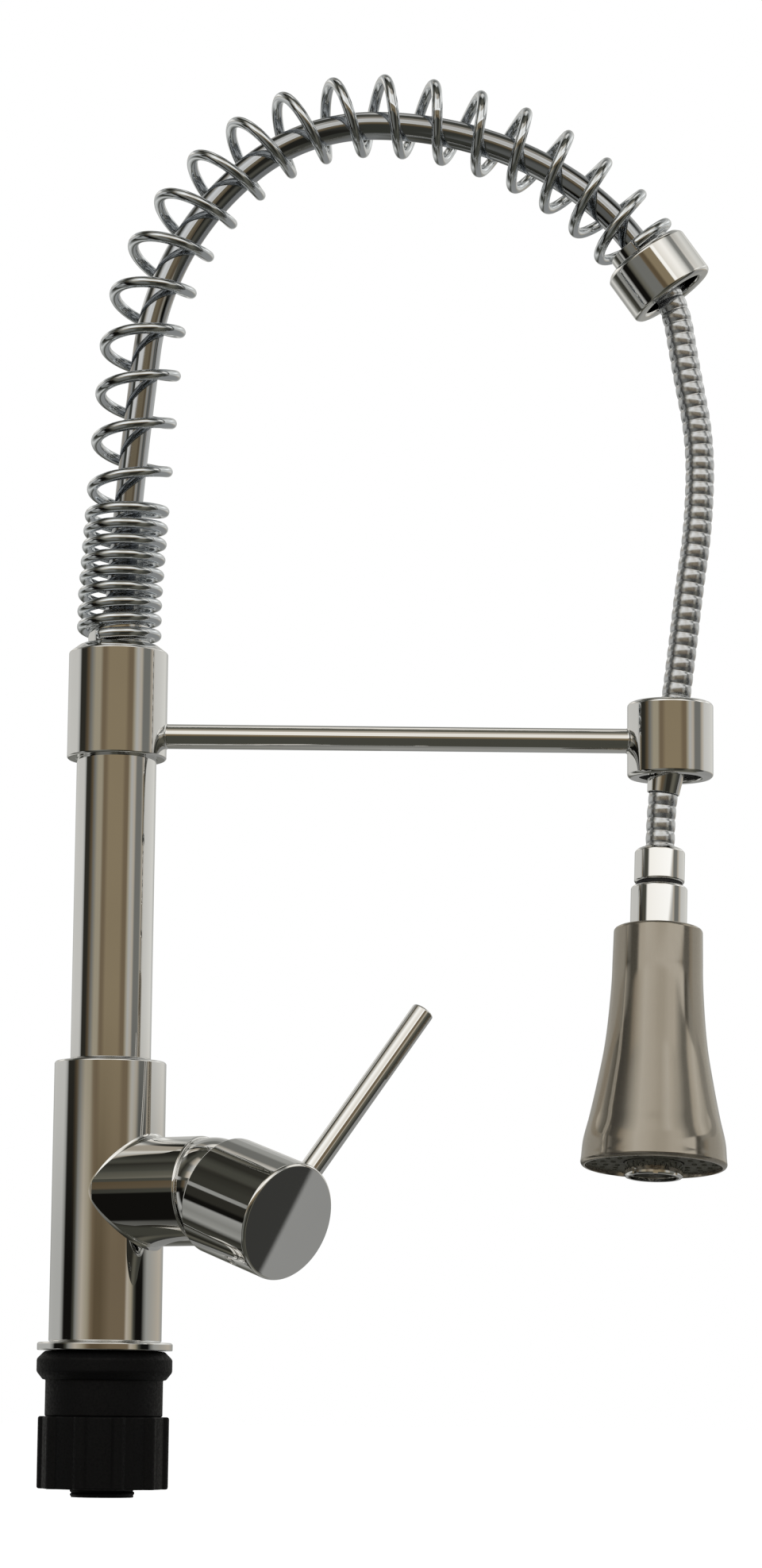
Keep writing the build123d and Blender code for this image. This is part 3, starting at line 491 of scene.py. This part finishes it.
CHROME = material("chrome", "e7e7e6", rough=0.008, metal=1.0, drift=0.02, grain=300.0, bump=0.0003)
WIRE = material("spring_chrome", "d8dce0", rough=0.04, metal=1.0, drift=0.03, grain=500.0, bump=0.004)
SATIN = material(
    "satin_chrome", "9a9387", rough=0.09, metal=0.86, drift=0.03, grain=900.0, bump=0.003, along=True)
HOSE = material("hose_steel", "c6c8ca", rough=0.16, metal=0.92, drift=0.03, grain=900.0, bump=0.004)
SLEEK = material("smooth_hose", "b4b7bb", rough=0.05, metal=1.0, drift=0.03, grain=700.0, bump=0.003)
SPRAY = material("spray_rubber", "45443a", rough=0.6, drift=0.04, grain=700.0, bump=0.0, shine=0.2)
STEEL = material("brushed_steel", "c9c8c4", rough=0.2, metal=1.0, drift=0.06, grain=900.0, bump=0.05)
BRASS = material("brass", "caa55c", rough=0.25, metal=1.0, drift=0.06, grain=700.0, bump=0.06)
BLACK = material("black_plastic", "050506", rough=0.62, drift=0.15, grain=900.0, bump=0.1, shine=0.2)
GREY_PLASTIC = material("grey_plastic", "5c5d5f", rough=0.45, drift=0.06, grain=800.0, bump=0.12)
WHITE_PLASTIC = material("white_plastic", "dcdbd6", rough=0.4, drift=0.03, grain=700.0, bump=0.08)
RUBBER = material("rubber", "161616", rough=0.65, drift=0.12, grain=900.0, bump=0.2)
CERAMIC = material("ceramic", "ebe8df", rough=0.12, drift=0.02, grain=500.0, bump=0.02)
SLOTS = {
    "chrome": CHROME, "spring_chrome": WIRE, "brushed_steel": STEEL, "brass": BRASS, "black_plastic": BLACK,
    "grey_plastic": GREY_PLASTIC, "white_plastic": WHITE_PLASTIC, "rubber": RUBBER, "ceramic": CERAMIC}


def paint_solids():
    for part in frame["record"]["subparts"]:
        cad = nodes[part["node"]]
        if not cad.material_slots:
            cad.data.materials.append(None)
        for entry in cad.material_slots:
            entry.material = SLOTS[part["material_slot"]]
    for name in ("spray_face", "spray_nozzles"):
        nodes[name].data.materials[0] = SPRAY


paint_solids()


# Helpers for places
def place_of(origin, x_dir, z_dir):
    z = Vector(z_dir).normalized()
    x = (Vector(x_dir) - z * Vector(x_dir).dot(z)).normalized()
    made = Matrix((x, z.cross(x), z)).transposed().to_4x4()
    made.translation = origin
    return made


def lift(height):
    return Matrix.Translation((0, 0, height))


def spin(angle, axis):
    return Matrix.Rotation(radians(angle), 4, axis)


# Helpers for meshes, all in millimetres
def finish_mesh(name, points, faces, body, paint, replaced=(), weigh=False, closed=True):
    """Object of smooth faces that rides on a body and stands for the named solids."""
    mesh = bpy.data.meshes.new(name)
    mesh.from_pydata([tuple(c * MM for c in p) for p in points], [], faces)
    mesh.validate()
    mesh.polygons.foreach_set("use_smooth", [True] * len(mesh.polygons))
    mesh.materials.append(paint)
    made = bpy.data.objects.new(name, mesh)
    scene.collection.objects.link(made)
    if weigh:
        even = made.modifiers.new("even", "WEIGHTED_NORMAL")
        even.keep_sharp = True
        even.weight = 80
    if body:
        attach(made, body)
    if replaced:
        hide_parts(*replaced)
    if closed:
        face_outward(mesh)
    return made


def face_outward(mesh):
    work = bmesh.new()
    work.from_mesh(mesh)
    bmesh.ops.recalc_face_normals(work, faces=work.faces)
    work.to_mesh(mesh)
    work.free()


def bend(first, corner, last, share):
    """Point on the curve that runs from first to last and turns at a corner."""
    return first * (1 - share) ** 2 + corner * 2 * share * (1 - share) + last * share**2


def rounded(outline, size, steps=3):
    """Outline of radius and height with each corner off the axis turned into a small curve."""
    shortest = 0.01
    straight = radians(176)
    longest_share = 0.42
    out = []
    count = len(outline)
    for i in range(count):
        here = Vector(outline[i])
        one = Vector(outline[i - 1]) - here
        two = Vector(outline[(i + 1) % count]) - here
        if min(here.x, one.length, two.length) < shortest or one.angle(two) > straight:
            out.append(tuple(here))
            continue
        cut = min(size, longest_share * one.length, longest_share * two.length)
        first = here + one.normalized() * cut
        last = here + two.normalized() * cut
        out += [tuple(bend(first, here, last, k / steps)) for k in range(steps + 1)]
    return out


def level_ring(radius_at, z, turns):
    """Points round the Z axis at one height, with a radius for each angle."""
    angles = [2 * pi * k / turns for k in range(turns)]
    return [Vector((radius_at(a) * cos(a), radius_at(a) * sin(a), z)) for a in angles]


def ring_faces(rows, sides, closed=False):
    """Faces between rings of points that follow each other."""
    faces = []
    for i in range(rows if closed else rows - 1):
        low, high = i * sides, (i + 1) % rows * sides
        for k in range(sides):
            n = (k + 1) % sides
            faces.append([low + k, low + n, high + n, high + k])
    return faces


def lathe(name, outline, place, body, replaced=(), paint=CHROME, edge=0.5, turns=128):
    """Closed outline of radius and height turned about the local Z axis, its corners rounded by edge."""
    if edge:
        outline = rounded(outline, edge)
    points, faces, rows = [], [], []
    for radius, z in outline:
        if radius == 0:
            rows.append([len(points)] * turns)
            points.append(place @ Vector((0, 0, z)))
        else:
            rows.append(list(range(len(points), len(points) + turns)))
            points += [place @ p for p in level_ring(lambda a: radius, z, turns)]
    for i, low in enumerate(rows):
        high = rows[(i + 1) % len(rows)]
        if low[0] == low[1] and high[0] == high[1]:
            continue
        for k in range(turns):
            n = (k + 1) % turns
            corners = (low[k], low[n], high[n], high[k])
            faces.append(list(dict.fromkeys(corners)))
    finish_mesh(name, points, faces, body, paint, replaced, weigh=True)


def fillet(name, corner_at, rows, turns, body, replaced=()):
    """Thin curved skin round a joint. For each angle, corner_at gives its foot, its corner and its top."""
    corners = [corner_at(2 * pi * k / turns) for k in range(turns)]
    points = [bend(*corner, i / (rows - 1)) for i in range(rows) for corner in corners]
    finish_mesh(name, points, ring_faces(rows, turns), body, CHROME, replaced, closed=False)


def tube_mesh(line, radius_at, sides, across=None):
    """Skin round a line, as points and faces. The first side of each ring looks across."""
    across = across or [Vector((0, 1, 0))] * len(line)
    last = len(line) - 1
    points = []
    along = 0.0
    for i, here in enumerate(line):
        ahead = (line[min(i + 1, last)] - line[max(i - 1, 0)]).normalized()
        side = (across[i] - ahead * across[i].dot(ahead)).normalized()
        other = ahead.cross(side)
        if i:
            along += (here - line[i - 1]).length
        radius = radius_at(along)
        for k in range(sides):
            a = 2 * pi * k / sides
            points.append(here + side * radius * cos(a) + other * radius * sin(a))
    first_end = list(range(sides))[::-1]
    last_end = [last * sides + k for k in range(sides)]
    return points, ring_faces(len(line), sides) + [first_end, last_end]


def even_line(points, step):
    """The same line with points at even steps."""
    out, carry = [points[0].copy()], 0.0
    for a, b in zip(points, points[1:]):
        run = (b - a).length
        place = step - carry
        while place <= run:
            out.append(a.lerp(b, place / run))
            place += step
        carry = run - (place - step)
    out.append(points[-1].copy())
    return out


# Places of the bodies, as in the solids
upright = Matrix.Identity(4)
level = spin(90, "Y")
branch_out = Vector((cos(radians(branch_azimuth)), sin(radians(branch_azimuth)), 0))
valve = place_of((0, 0, branch_height), (0, 0, 1), branch_out)
pivot = valve @ lift(pivot_reach)
handle = pivot @ spin(-handle_turn, "Z") @ spin(-handle_lift, "Y")
dock_up = Vector((sin(radians(dock_lean)), 0, cos(radians(dock_lean))))
dock_middle = dock_bottom + dock_height / 2
dock = place_of((dock_reach, 0, dock_middle), (0, 1, 0), dock_up)
head_down = Vector((-sin(radians(head_lean)), -sin(radians(head_tip)), 0))
head_down.z = -sqrt(1 - head_down.length_squared)
head = place_of((dock_reach - head_shift, 0, dock_middle - head_drop), (0, 1, 0), head_down)
arch_length = arch_lead + arch_tail + sum(radius * radians(turn) for radius, turn in arch_arcs)


def arch_at(length):
    """Point of the neck's middle line and the way it runs there."""
    if length <= arch_lead:
        return Vector((0, 0, collar_top + length)), Vector((0, 0, 1))
    x, z, tilt, left = 0.0, collar_top + arch_lead, 0.0, length - arch_lead
    for radius, turn in arch_arcs:
        step = min(left, radius * radians(turn))
        after = tilt + step / radius
        x += radius * (cos(tilt) - cos(after))
        z += radius * (sin(after) - sin(tilt))
        tilt, left = after, left - step
        if left <= 0:
            return Vector((x, 0, z)), Vector((sin(tilt), 0, cos(tilt)))
    aim = Vector((sin(tilt), 0, cos(tilt)))
    return Vector((x, 0, z)) + aim * left, aim


arch_end, arch_aim = arch_at(arch_length)
end_cap = place_of(arch_end, (0, 1, 0), -arch_aim)
spring_end = arch_length - end_cap_length
hose_end = spring_end + end_cap_web
collar_floor = collar_top - collar_web


# Ribbed hoses
def smooth_line(points):
    """Points of the soft curve that the given points steer."""
    data = bpy.data.curves.new("route", "CURVE")
    data.dimensions = "3D"
    spline = data.splines.new("NURBS")
    spline.points.add(len(points) - 1)
    for knot, p in zip(spline.points, points):
        knot.co = (*(c * MM for c in p), 1.0)
    spline.order_u = 3
    spline.use_endpoint_u = True
    spline.resolution_u = 24
    holder = bpy.data.objects.new("route", data)
    scene.collection.objects.link(holder)
    bpy.context.view_layer.update()
    drawn = bpy.data.meshes.new_from_object(holder.evaluated_get(bpy.context.evaluated_depsgraph_get()))
    line = [v.co / MM for v in drawn.vertices]
    bpy.data.objects.remove(holder)
    bpy.data.meshes.remove(drawn)
    return line


def ribbed(name, line, replaced, body):
    """Hose with round ribs between its plain ends."""
    ring_step = 0.42
    fine = even_line(line, ring_step)
    length = sum((b - a).length for a, b in zip(fine, fine[1:]))
    ribbed_length = length - 2 * plain_end
    pitch = ribbed_length / round(ribbed_length / rib_pitch)

    def radius_at(along):
        if along < plain_end or along > length - plain_end:
            return rib_crest
        phase = ((along - plain_end) / pitch) % 1.0
        return rib_valley + (rib_crest - rib_valley) * abs(sin(pi * phase)) ** rib_power

    points, faces = tube_mesh(fine, radius_at, sides=40)
    made = finish_mesh(name, points, faces, body, HOSE, replaced)
    return made, fine, length


def free_hose():
    """Hose that hangs from the end cap to the docking sleeve."""
    entry = dock @ Vector((0, 0, sleeve_top))
    route = [arch_at(hose_end)[0], arch_end]
    route += [arch_end + Vector((x, 0, z)) for x, z in route_from_arch]
    route += [Vector((dock_reach + x, 0, dock_middle + z)) for x, z in route_from_dock]
    route += [dock @ Vector((0, 0, free_entry)), entry]
    made, fine, length = ribbed("free_ribbed_hose", smooth_line(route), ("free_hose",), None)
    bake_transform(made)
    path = [tuple(p * MM) for p in fine]
    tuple(path[0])


def short_hose():
    """Hose from the docking sleeve into the hose nut."""
    route = [dock @ Vector((0, 0, sleeve_top)), dock @ Vector((0, 0, -short_bend))]
    route += [head @ Vector((0, 0, -short_entry)), head @ Vector((0, 0, hose_seat))]
    ribbed("short_ribbed_hose", smooth_line(route), ("short_hose",), "head_mount")


free_hose()
short_hose()


# Floor, bright enough to melt into the backdrop and matt enough to take a faint shadow
def floor():
    mesh = bpy.data.meshes.new("floor")
    w, z = floor_half, floor_height
    mesh.from_pydata([(-w, -w, z), (w, -w, z), (w, w, z), (-w, w, z)], [], [(0, 1, 2, 3)])
    made = bpy.data.objects.new("floor", mesh)
    scene.collection.objects.link(made)
    paint = bpy.data.materials.new("floor")
    paint.use_nodes = True
    tree = paint.node_tree
    tree.nodes.clear()
    matt = put(tree, "ShaderNodeBsdfDiffuse", {0: (floor_tone, floor_tone, floor_tone, 1.0)}).outputs[0]
    shine = put(tree, "ShaderNodeEmission", {0: PURE_WHITE, 1: floor_glow}).outputs[0]
    rays = put(tree, "ShaderNodeLightPath")
    lit = calc(tree, "MAXIMUM", rays.outputs["Is Camera Ray"], rays.outputs["Is Transmission Ray"])
    glow = put(tree, "ShaderNodeMixShader", {0: lit, 2: shine}).outputs[0]
    both = put(tree, "ShaderNodeAddShader", {0: matt, 1: glow}).outputs[0]
    put(tree, "ShaderNodeOutputMaterial", {0: both})
    mesh.materials.append(paint)
    made.visible_glossy = False


floor()


# Base plate, body and valve branch
def base_plate():
    outline = [
        (gasket_bore, gasket_height), (gasket_radius, gasket_height), (gasket_radius, 0), (plate_radius, 0),
        (plate_radius, plate_height - bevel), (plate_radius - bevel, plate_height),
        (gasket_bore, plate_height)]
    lathe("base_plate_disc", outline, upright, "faucet_base", ("base_plate",), edge=0.4, turns=160)


def body_column():
    outline = [
        (0, plate_height), (body_radius - bevel, plate_height), (body_radius, plate_height + bevel),
        (body_radius, body_top - body_bevel), (body_radius - body_bevel, body_top), (0, body_top)]
    lathe("body_column", outline, upright, "faucet_base", ("faucet_body",), edge=0.4, turns=192)


def branch():
    inside, seat = branch_bore - 0.1, branch_reach - branch_bore_depth
    outline = [
        (inside, branch_root), (branch_radius, branch_root), (branch_radius, branch_reach - bevel),
        (branch_radius - bevel, branch_reach), (branch_bore, branch_reach), (branch_bore, seat),
        (inside, seat)]
    lathe("valve_branch", outline, valve, "faucet_base", ("faucet_body",), edge=0.35, turns=192)


def branch_fillet():
    """Small polished fillet where the branch leaves the body."""
    sink, steepness = 0.05, 1.1
    inset = branch_radius - 0.04

    def on_body(radius, a):
        across = radius * sin(a)
        return Vector((radius * cos(a), across, sqrt(max(body_radius**2 - across**2, 0))))

    def corner_at(a):
        grow = fillet_least + fillet_more * cos(a) ** 2
        meet = on_body(branch_radius, a)
        foot = on_body(branch_radius + grow, a)
        foot -= Vector((0, foot.y, foot.z)) * sink / body_radius
        top = Vector((inset * cos(a), inset * sin(a), meet.z + grow * steepness))
        return valve @ foot, valve @ meet, valve @ top

    fillet("branch_fillet", corner_at, 7, 192, "faucet_base", ("faucet_body",))


def bonnet():
    """Ball of the bonnet with its skirt, open at the front for the lever's stem."""
    back = branch_reach - pivot_reach
    outline = [(skirt_bore, back - skirt_length), (skirt_radius, back - skirt_length), (skirt_radius, back)]
    first, last = acos(back / dome_radius), acos(dome_front / dome_radius)
    steps = 24
    for k in range(steps + 1):
        a = first + (last - first) * k / steps
        outline.append((dome_radius * sin(a), dome_radius * cos(a)))
    outline += [(dome_mouth, dome_front), (dome_mouth, dome_mouth_floor), (skirt_bore, 0)]
    lathe("bonnet_ball", outline, pivot, "faucet_base", ("bonnet_dome",), edge=0, turns=160)


# Handle
def handle_cap():
    outline = [
        (0, cap_cavity), (cap_bore, cap_cavity), (cap_bore, cap_back), (cap_radius - bevel, cap_back),
        (cap_radius, cap_back + bevel), (cap_radius, cap_front - cap_edge),
        (cap_radius - cap_edge, cap_front), (0, cap_front)]
    lathe("handle_cap_shell", outline, handle, "handle", ("handle_cap",), turns=192)


def lever():
    outline = [
        (0, lever_root), (lever_radius, lever_root), (lever_radius, lever_reach - bevel),
        (lever_radius - bevel, lever_reach), (0, lever_reach)]
    place = handle @ lift(lever_set) @ level
    lathe("lever_bar", outline, place, "handle", ("lever_rod",), edge=0.6, turns=64)


def screw_well():
    """Fine raised rim of the well that the set screw sits in."""
    foot = cap_radius - 0.3
    outline = [
        (screw_radius + fit, foot), (screw_radius + 0.5, foot), (screw_radius + 0.6, cap_radius + 0.12),
        (screw_radius + 0.1, cap_radius + 0.16)]
    place = handle @ lift(screw_set) @ spin(-90, "Y")
    lathe("screw_well_rim", outline, place, "handle", edge=0.1, turns=48)


# Riser, collar, arm and docking ring
def riser():
    low = body_top + washer_height
    outline = [
        (riser_bore, low), (riser_radius - riser_bevel, low), (riser_radius, low + riser_bevel),
        (riser_radius, collar_floor), (riser_bore, collar_floor)]
    lathe("riser_pipe", outline, upright, "spout", ("riser_tube",), edge=0.25, turns=192)


def collar():
    low = collar_top - collar_length
    groove = collar_floor + seal_groove
    spigot_top = collar_top + spigot_height
    outline = [
        (riser_radius + fit, groove), (riser_radius + fit, low), (collar_radius - bevel, low),
        (collar_radius, low + bevel), (collar_radius, collar_top - collar_bevel_rise),
        (collar_radius - collar_bevel_run, collar_top), (spigot_radius, collar_top),
        (spigot_radius, spigot_top), (spigot_bore, spigot_top), (spigot_bore, collar_top),
        (collar_bore, collar_top), (collar_bore, collar_floor), (riser_bore, collar_floor),
        (riser_bore, groove)]
    lathe("collar_shell", outline, upright, "spout", ("support_collar",), turns=192)


def arm():
    start, end = collar_radius - arm_socket, dock_reach - dock_radius + arm_socket
    outline = [(0, start), (arm_radius, start), (arm_radius, end), (0, end)]
    lathe("arm_bar", outline, lift(arm_height) @ level, "spout", ("arm_rod",), edge=0.3, turns=96)


def dock_ring():
    top = dock_bottom + dock_height
    outline = [
        (dock_bore, dock_bottom + bevel), (dock_bore + bevel, dock_bottom),
        (dock_radius - dock_edge, dock_bottom), (dock_radius, dock_bottom + dock_edge),
        (dock_radius, top - dock_edge), (dock_radius - dock_edge, top), (dock_bore + bevel, top),
        (dock_bore, top - bevel)]
    place = Matrix.Translation((dock_reach, 0, 0))
    lathe("dock_ring_shell", outline, place, "spout", ("docking_ring",), edge=0.7, turns=192)


def arm_weld(name, x, radius, toward):
    """Thin fillet round the arm where it enters a round part of the given radius."""
    sink = 0.02

    def corner_at(a):
        def on(reach, out):
            y = reach * sin(a)
            return Vector((x + toward * (sqrt(radius**2 - y**2) + out), y, arm_height + reach * cos(a)))

        return on(arm_radius + weld_reach, -sink), on(arm_radius, 0), on(arm_radius - sink, weld_length)

    fillet(name, corner_at, 5, 96, "spout")


# Spring, its hose and its end cap. The wire starts so high that its end just clears the collar.
wire_seat = wire_radius + fit + wire_radius * seat_pitch / (pi * coil_radius)


def spring_stretches():
    """Stretches of the coil, each with its turns and its pitch at both ends. They fill the arch."""
    room = spring_end - 2 * wire_seat
    foot = [(1.0, seat_pitch, seat_pitch), (closed_turns, closed_pitch, closed_pitch)]
    foot += [(blend_turns, closed_pitch, open_pitch)]
    used = sum(turns * (first + last) / 2 for turns, first, last in foot) + (last_pitch + seat_pitch) / 2
    open_turns = 2 * (room - used) / (open_pitch + last_pitch)
    return foot + [(open_turns, open_pitch, last_pitch), (1.0, last_pitch, seat_pitch)]


def coil_point(turn, stretches):
    """Middle of the wire after so many turns, and the point of the arch that it winds round."""
    along, left = wire_seat, turn
    for turns, first, last in stretches:
        part = min(left, turns)
        pitch = first + (last - first) * part / turns
        along += part * (first + pitch) / 2
        left -= part
        if left <= 0:
            break
    centre, aim = arch_at(along)
    side = Vector((aim.z, 0, -aim.x))
    a = radians(coil_start) + 2 * pi * turn
    return centre + (side * cos(a) + Vector((0, sin(a), 0))) * coil_radius, centre


def neck_spring():
    stretches = spring_stretches()
    total = sum(turns for turns, first, last in stretches)
    steps_a_turn = 56
    steps = round(total * steps_a_turn)
    coil = [coil_point(total * k / steps, stretches) for k in range(steps + 1)]
    line = [point for point, centre in coil]
    across = [point - centre for point, centre in coil]
    points, faces = tube_mesh(line, lambda along: wire_radius, sides=20, across=across)
    finish_mesh("neck_spring", points, faces, "spout", WIRE, ("arch_spring",))


def hose_in_arch():
    """Smooth hose that bows to the inside of the bend."""
    first, last = barb_length, hose_end - barb_length
    steps, ring_step = 900, 0.35
    line = []
    for i in range(steps + 1):
        along = hex_height + (hose_end - hex_height) * i / steps
        centre, aim = arch_at(along)
        share = min(max((along - first) / (last - first), 0), 1)
        sag = hose_sag * (1 - cos(pi * share**hose_sag_lean) ** 4)
        line.append(centre + Vector((aim.z, 0, -aim.x)) * sag)
    points, faces = tube_mesh(even_line(line, ring_step), lambda along: inner_hose_radius, sides=32)
    finish_mesh("arch_inner_hose", points, faces, "spout", SLEEK, ("arch_hose",))


def spring_cap():
    spigot_top, web = end_cap_length + end_cap_spigot, end_cap_length - end_cap_web
    outline = [
        (end_cap_bore, end_cap_rim), (end_cap_bore + end_cap_rim, 0), (end_cap_radius - end_cap_rim, 0),
        (end_cap_radius, end_cap_rim), (end_cap_radius, end_cap_length - end_cap_top_bevel),
        (end_cap_radius - end_cap_top_bevel, end_cap_length), (spigot_radius, end_cap_length),
        (spigot_radius, spigot_top), (spigot_bore, spigot_top), (spigot_bore, end_cap_length),
        (end_cap_eye, end_cap_length), (end_cap_eye, web), (end_cap_bore, web)]
    lathe("end_cap_shell", outline, end_cap, "spout", ("spring_end_cap",), edge=0.6, turns=160)


# Docking sleeve, hose nut, neck and bell
def dock_sleeve():
    bore = rib_crest + fit
    outline = [
        (bore, -sleeve_tail), (bore + bevel, -sleeve_tail), (sleeve_radius, -sleeve_drop),
        (sleeve_radius, sleeve_top - sleeve_lead), (sleeve_radius - sleeve_lead, sleeve_top),
        (bore, sleeve_top)]
    lathe("dock_sleeve_shell", outline, dock, "head_mount", ("dock_sleeve",), turns=96)


def hose_nut():
    bore = rib_crest + fit
    outline = [
        (bore, 0), (hose_nut_radius - hose_nut_bevel, 0), (hose_nut_radius, hose_nut_bevel),
        (hose_nut_radius, hose_nut_length - bevel), (hose_nut_radius - bevel, hose_nut_length),
        (spindle_radius, hose_nut_length), (spindle_radius, hose_seat), (bore, hose_seat)]
    lathe("hose_nut_shell", outline, head, "head_mount", ("hose_nut",))


neck_start = hose_nut_length + seam_height
neck_end = neck_start + neck_length


def spray_neck():
    bore, lip = spindle_radius + 0.1, neck_start + neck_lip
    outline = [
        (bore, neck_start), (neck_radius - neck_bevel, neck_start), (neck_radius, neck_start + neck_bevel),
        (neck_radius, neck_end), (neck_tail_radius, neck_end), (neck_tail_radius, neck_end + neck_tail),
        (neck_bore, neck_end + neck_tail), (neck_bore, lip), (bore, lip)]
    lathe("spray_neck_shell", outline, head, "spray_head", ("spray_neck",))


def bell_flare():
    """Smooth flare through the bell's radii, upright at its top."""
    places = [neck_end + bell_length * share for share in bell_shares]
    runs = [b - a for a, b in zip(places, places[1:])]
    slants = [(b - a) / run for a, b, run in zip(bell_radii, bell_radii[1:], runs)]
    slopes = [0.0] + [(a + b) / 2 for a, b in zip(slants, slants[1:])] + [bell_rim_slope]
    steps = 10
    out = []
    for i, run in enumerate(runs):
        for k in range(steps):
            t = k / steps
            radius = (2 * t**3 - 3 * t**2 + 1) * bell_radii[i] + (t**3 - 2 * t**2 + t) * run * slopes[i]
            radius += (-2 * t**3 + 3 * t**2) * bell_radii[i + 1] + (t**3 - t**2) * run * slopes[i + 1]
            out.append((radius, places[i] + run * t))
    out.append((bell_radii[-1], places[-1]))
    return out


def quarter(radius, z, wide, high, start, steps):
    """Quarter of an ellipse about a middle, from a start angle and against the clock."""
    angles = [radians(start + 90 * k / steps) for k in range(steps + 1)]
    return [(radius + wide * cos(a), z + high * sin(a)) for a in angles]


def spray_bell():
    """Bell with a soft shoulder, a flared wall and a rolled lip, open below."""
    flare = bell_flare()
    bottom = neck_end + bell_length
    shoulder_wide, shoulder_high = 1.8, 1.7
    lip_wide, lip_high = 1.95, 1.8
    shoulder = quarter(
        bell_top_radius - shoulder_wide, neck_end + shoulder_high, shoulder_wide, shoulder_high, -90, 4)
    lip = quarter(bell_rim_radius - lip_wide, bottom - lip_high, lip_wide, lip_high, 0, 5)
    lip_foot = (bell_rim_radius - lip_wide - 0.2, bottom - 0.2)
    outer = [(neck_tail_radius, neck_end)] + shoulder + flare + lip + [lip_foot]
    roof = neck_end + bell_roof
    inner = [(r - bell_wall, z) for r, z in reversed(flare)]
    inner += [(bell_top_radius - bell_wall, roof), (neck_tail_radius, roof)]
    outline = outer + inner
    lathe("spray_bell_shell", outline, head, "spray_head", ("spray_bell",), paint=SATIN, edge=0, turns=192)


# Shank and mounting nut under the deck
def shank():
    """Hollow shank with its thread, which fades out at both ends."""
    low, high = -shank_drop, plate_height + shank_grip
    rings_a_pitch = 12
    turns = 96
    lead_depth = 0.6
    crest_fullness = 1.5
    rows = round((high - low) / thread_pitch * rings_a_pitch)
    points = []
    for i in range(rows + 1):
        z = low + (high - low) * i / rows
        fade = max(min(1.0, (z - low) / thread_pitch, (high - z) / thread_pitch), 0.0)
        lead = lead_depth * max(0.0, 1 - (z - low) / shank_lead)

        def radius_at(a):
            phase = (z / thread_pitch - a / (2 * pi)) % 1.0
            wave = 1 - abs(2 * phase - 1)
            return shank_radius - thread_groove * (1 - min(1.0, wave * crest_fullness)) * fade - lead

        points += level_ring(radius_at, z, turns)
    for z in (high, low):
        points += level_ring(lambda a: shank_bore, z, turns)
    faces = ring_faces(rows + 3, turns, closed=True)
    finish_mesh("shank_thread", points, faces, "faucet_base", BLACK, ("threaded_shank",))


nut_neck_top = nut_top - nut_flange_height
nut_grip_top = nut_neck_top - nut_neck_height
nut_low = nut_grip_top - nut_grip_height


def nut_grip():
    """Lower barrel of the mounting nut with its rounded grip ribs."""
    turns = 320
    reach = nut_grip_radius - nut_rib_radius

    def radius_at(a):
        best = nut_grip_core
        for k in range(nut_rib_count):
            gap = a - 2 * pi * k / nut_rib_count
            beside = reach * sin(gap)
            if abs(beside) < nut_rib_radius and cos(gap) > 0:
                best = max(best, reach * cos(gap) + sqrt(nut_rib_radius**2 - beside**2))
        return best

    rims = [(0, 0.8), (0.25, 0.3), (0.8, 0.0)]  # drop from the end and inset there
    edge = [(nut_grip_top - drop, inset) for drop, inset in rims]
    edge += [(nut_low + drop, inset) for drop, inset in reversed(rims)]
    points = []
    for z, inset in edge:
        points += level_ring(lambda a: radius_at(a) - inset, z, turns)
    for z in (nut_low, nut_grip_top):
        points += level_ring(lambda a: nut_bore, z, turns)
    faces = ring_faces(len(edge) + 2, turns, closed=True)
    finish_mesh("nut_grip", points, faces, "deck_nut", BLACK, ("mounting_nut",), weigh=True)


def nut_flange():
    foot = nut_neck_top + nut_flange_bevel
    outline = [
        (nut_bore, nut_top), (nut_flange_radius - nut_flange_bevel, nut_top),
        (nut_flange_radius, nut_top - nut_flange_bevel), (nut_flange_radius, foot),
        (nut_flange_radius - nut_flange_foot, nut_neck_top), (nut_neck_radius, nut_neck_top),
        (nut_neck_radius, nut_grip_top), (nut_bore, nut_grip_top)]
    lathe("nut_flange", outline, upright, "deck_nut", ("mounting_nut",), BLACK,
          edge=0.8, turns=160)


base_plate()
body_column()
branch()
branch_fillet()
bonnet()
handle_cap()
lever()
screw_well()
riser()
collar()
arm()
dock_ring()
arm_weld("arm_weld_collar", 0, collar_radius, 1)
arm_weld("arm_weld_ring", dock_reach, dock_radius, -1)
neck_spring()
hose_in_arch()
spring_cap()
dock_sleeve()
hose_nut()
spray_neck()
spray_bell()
shank()
nut_grip()
nut_flange()
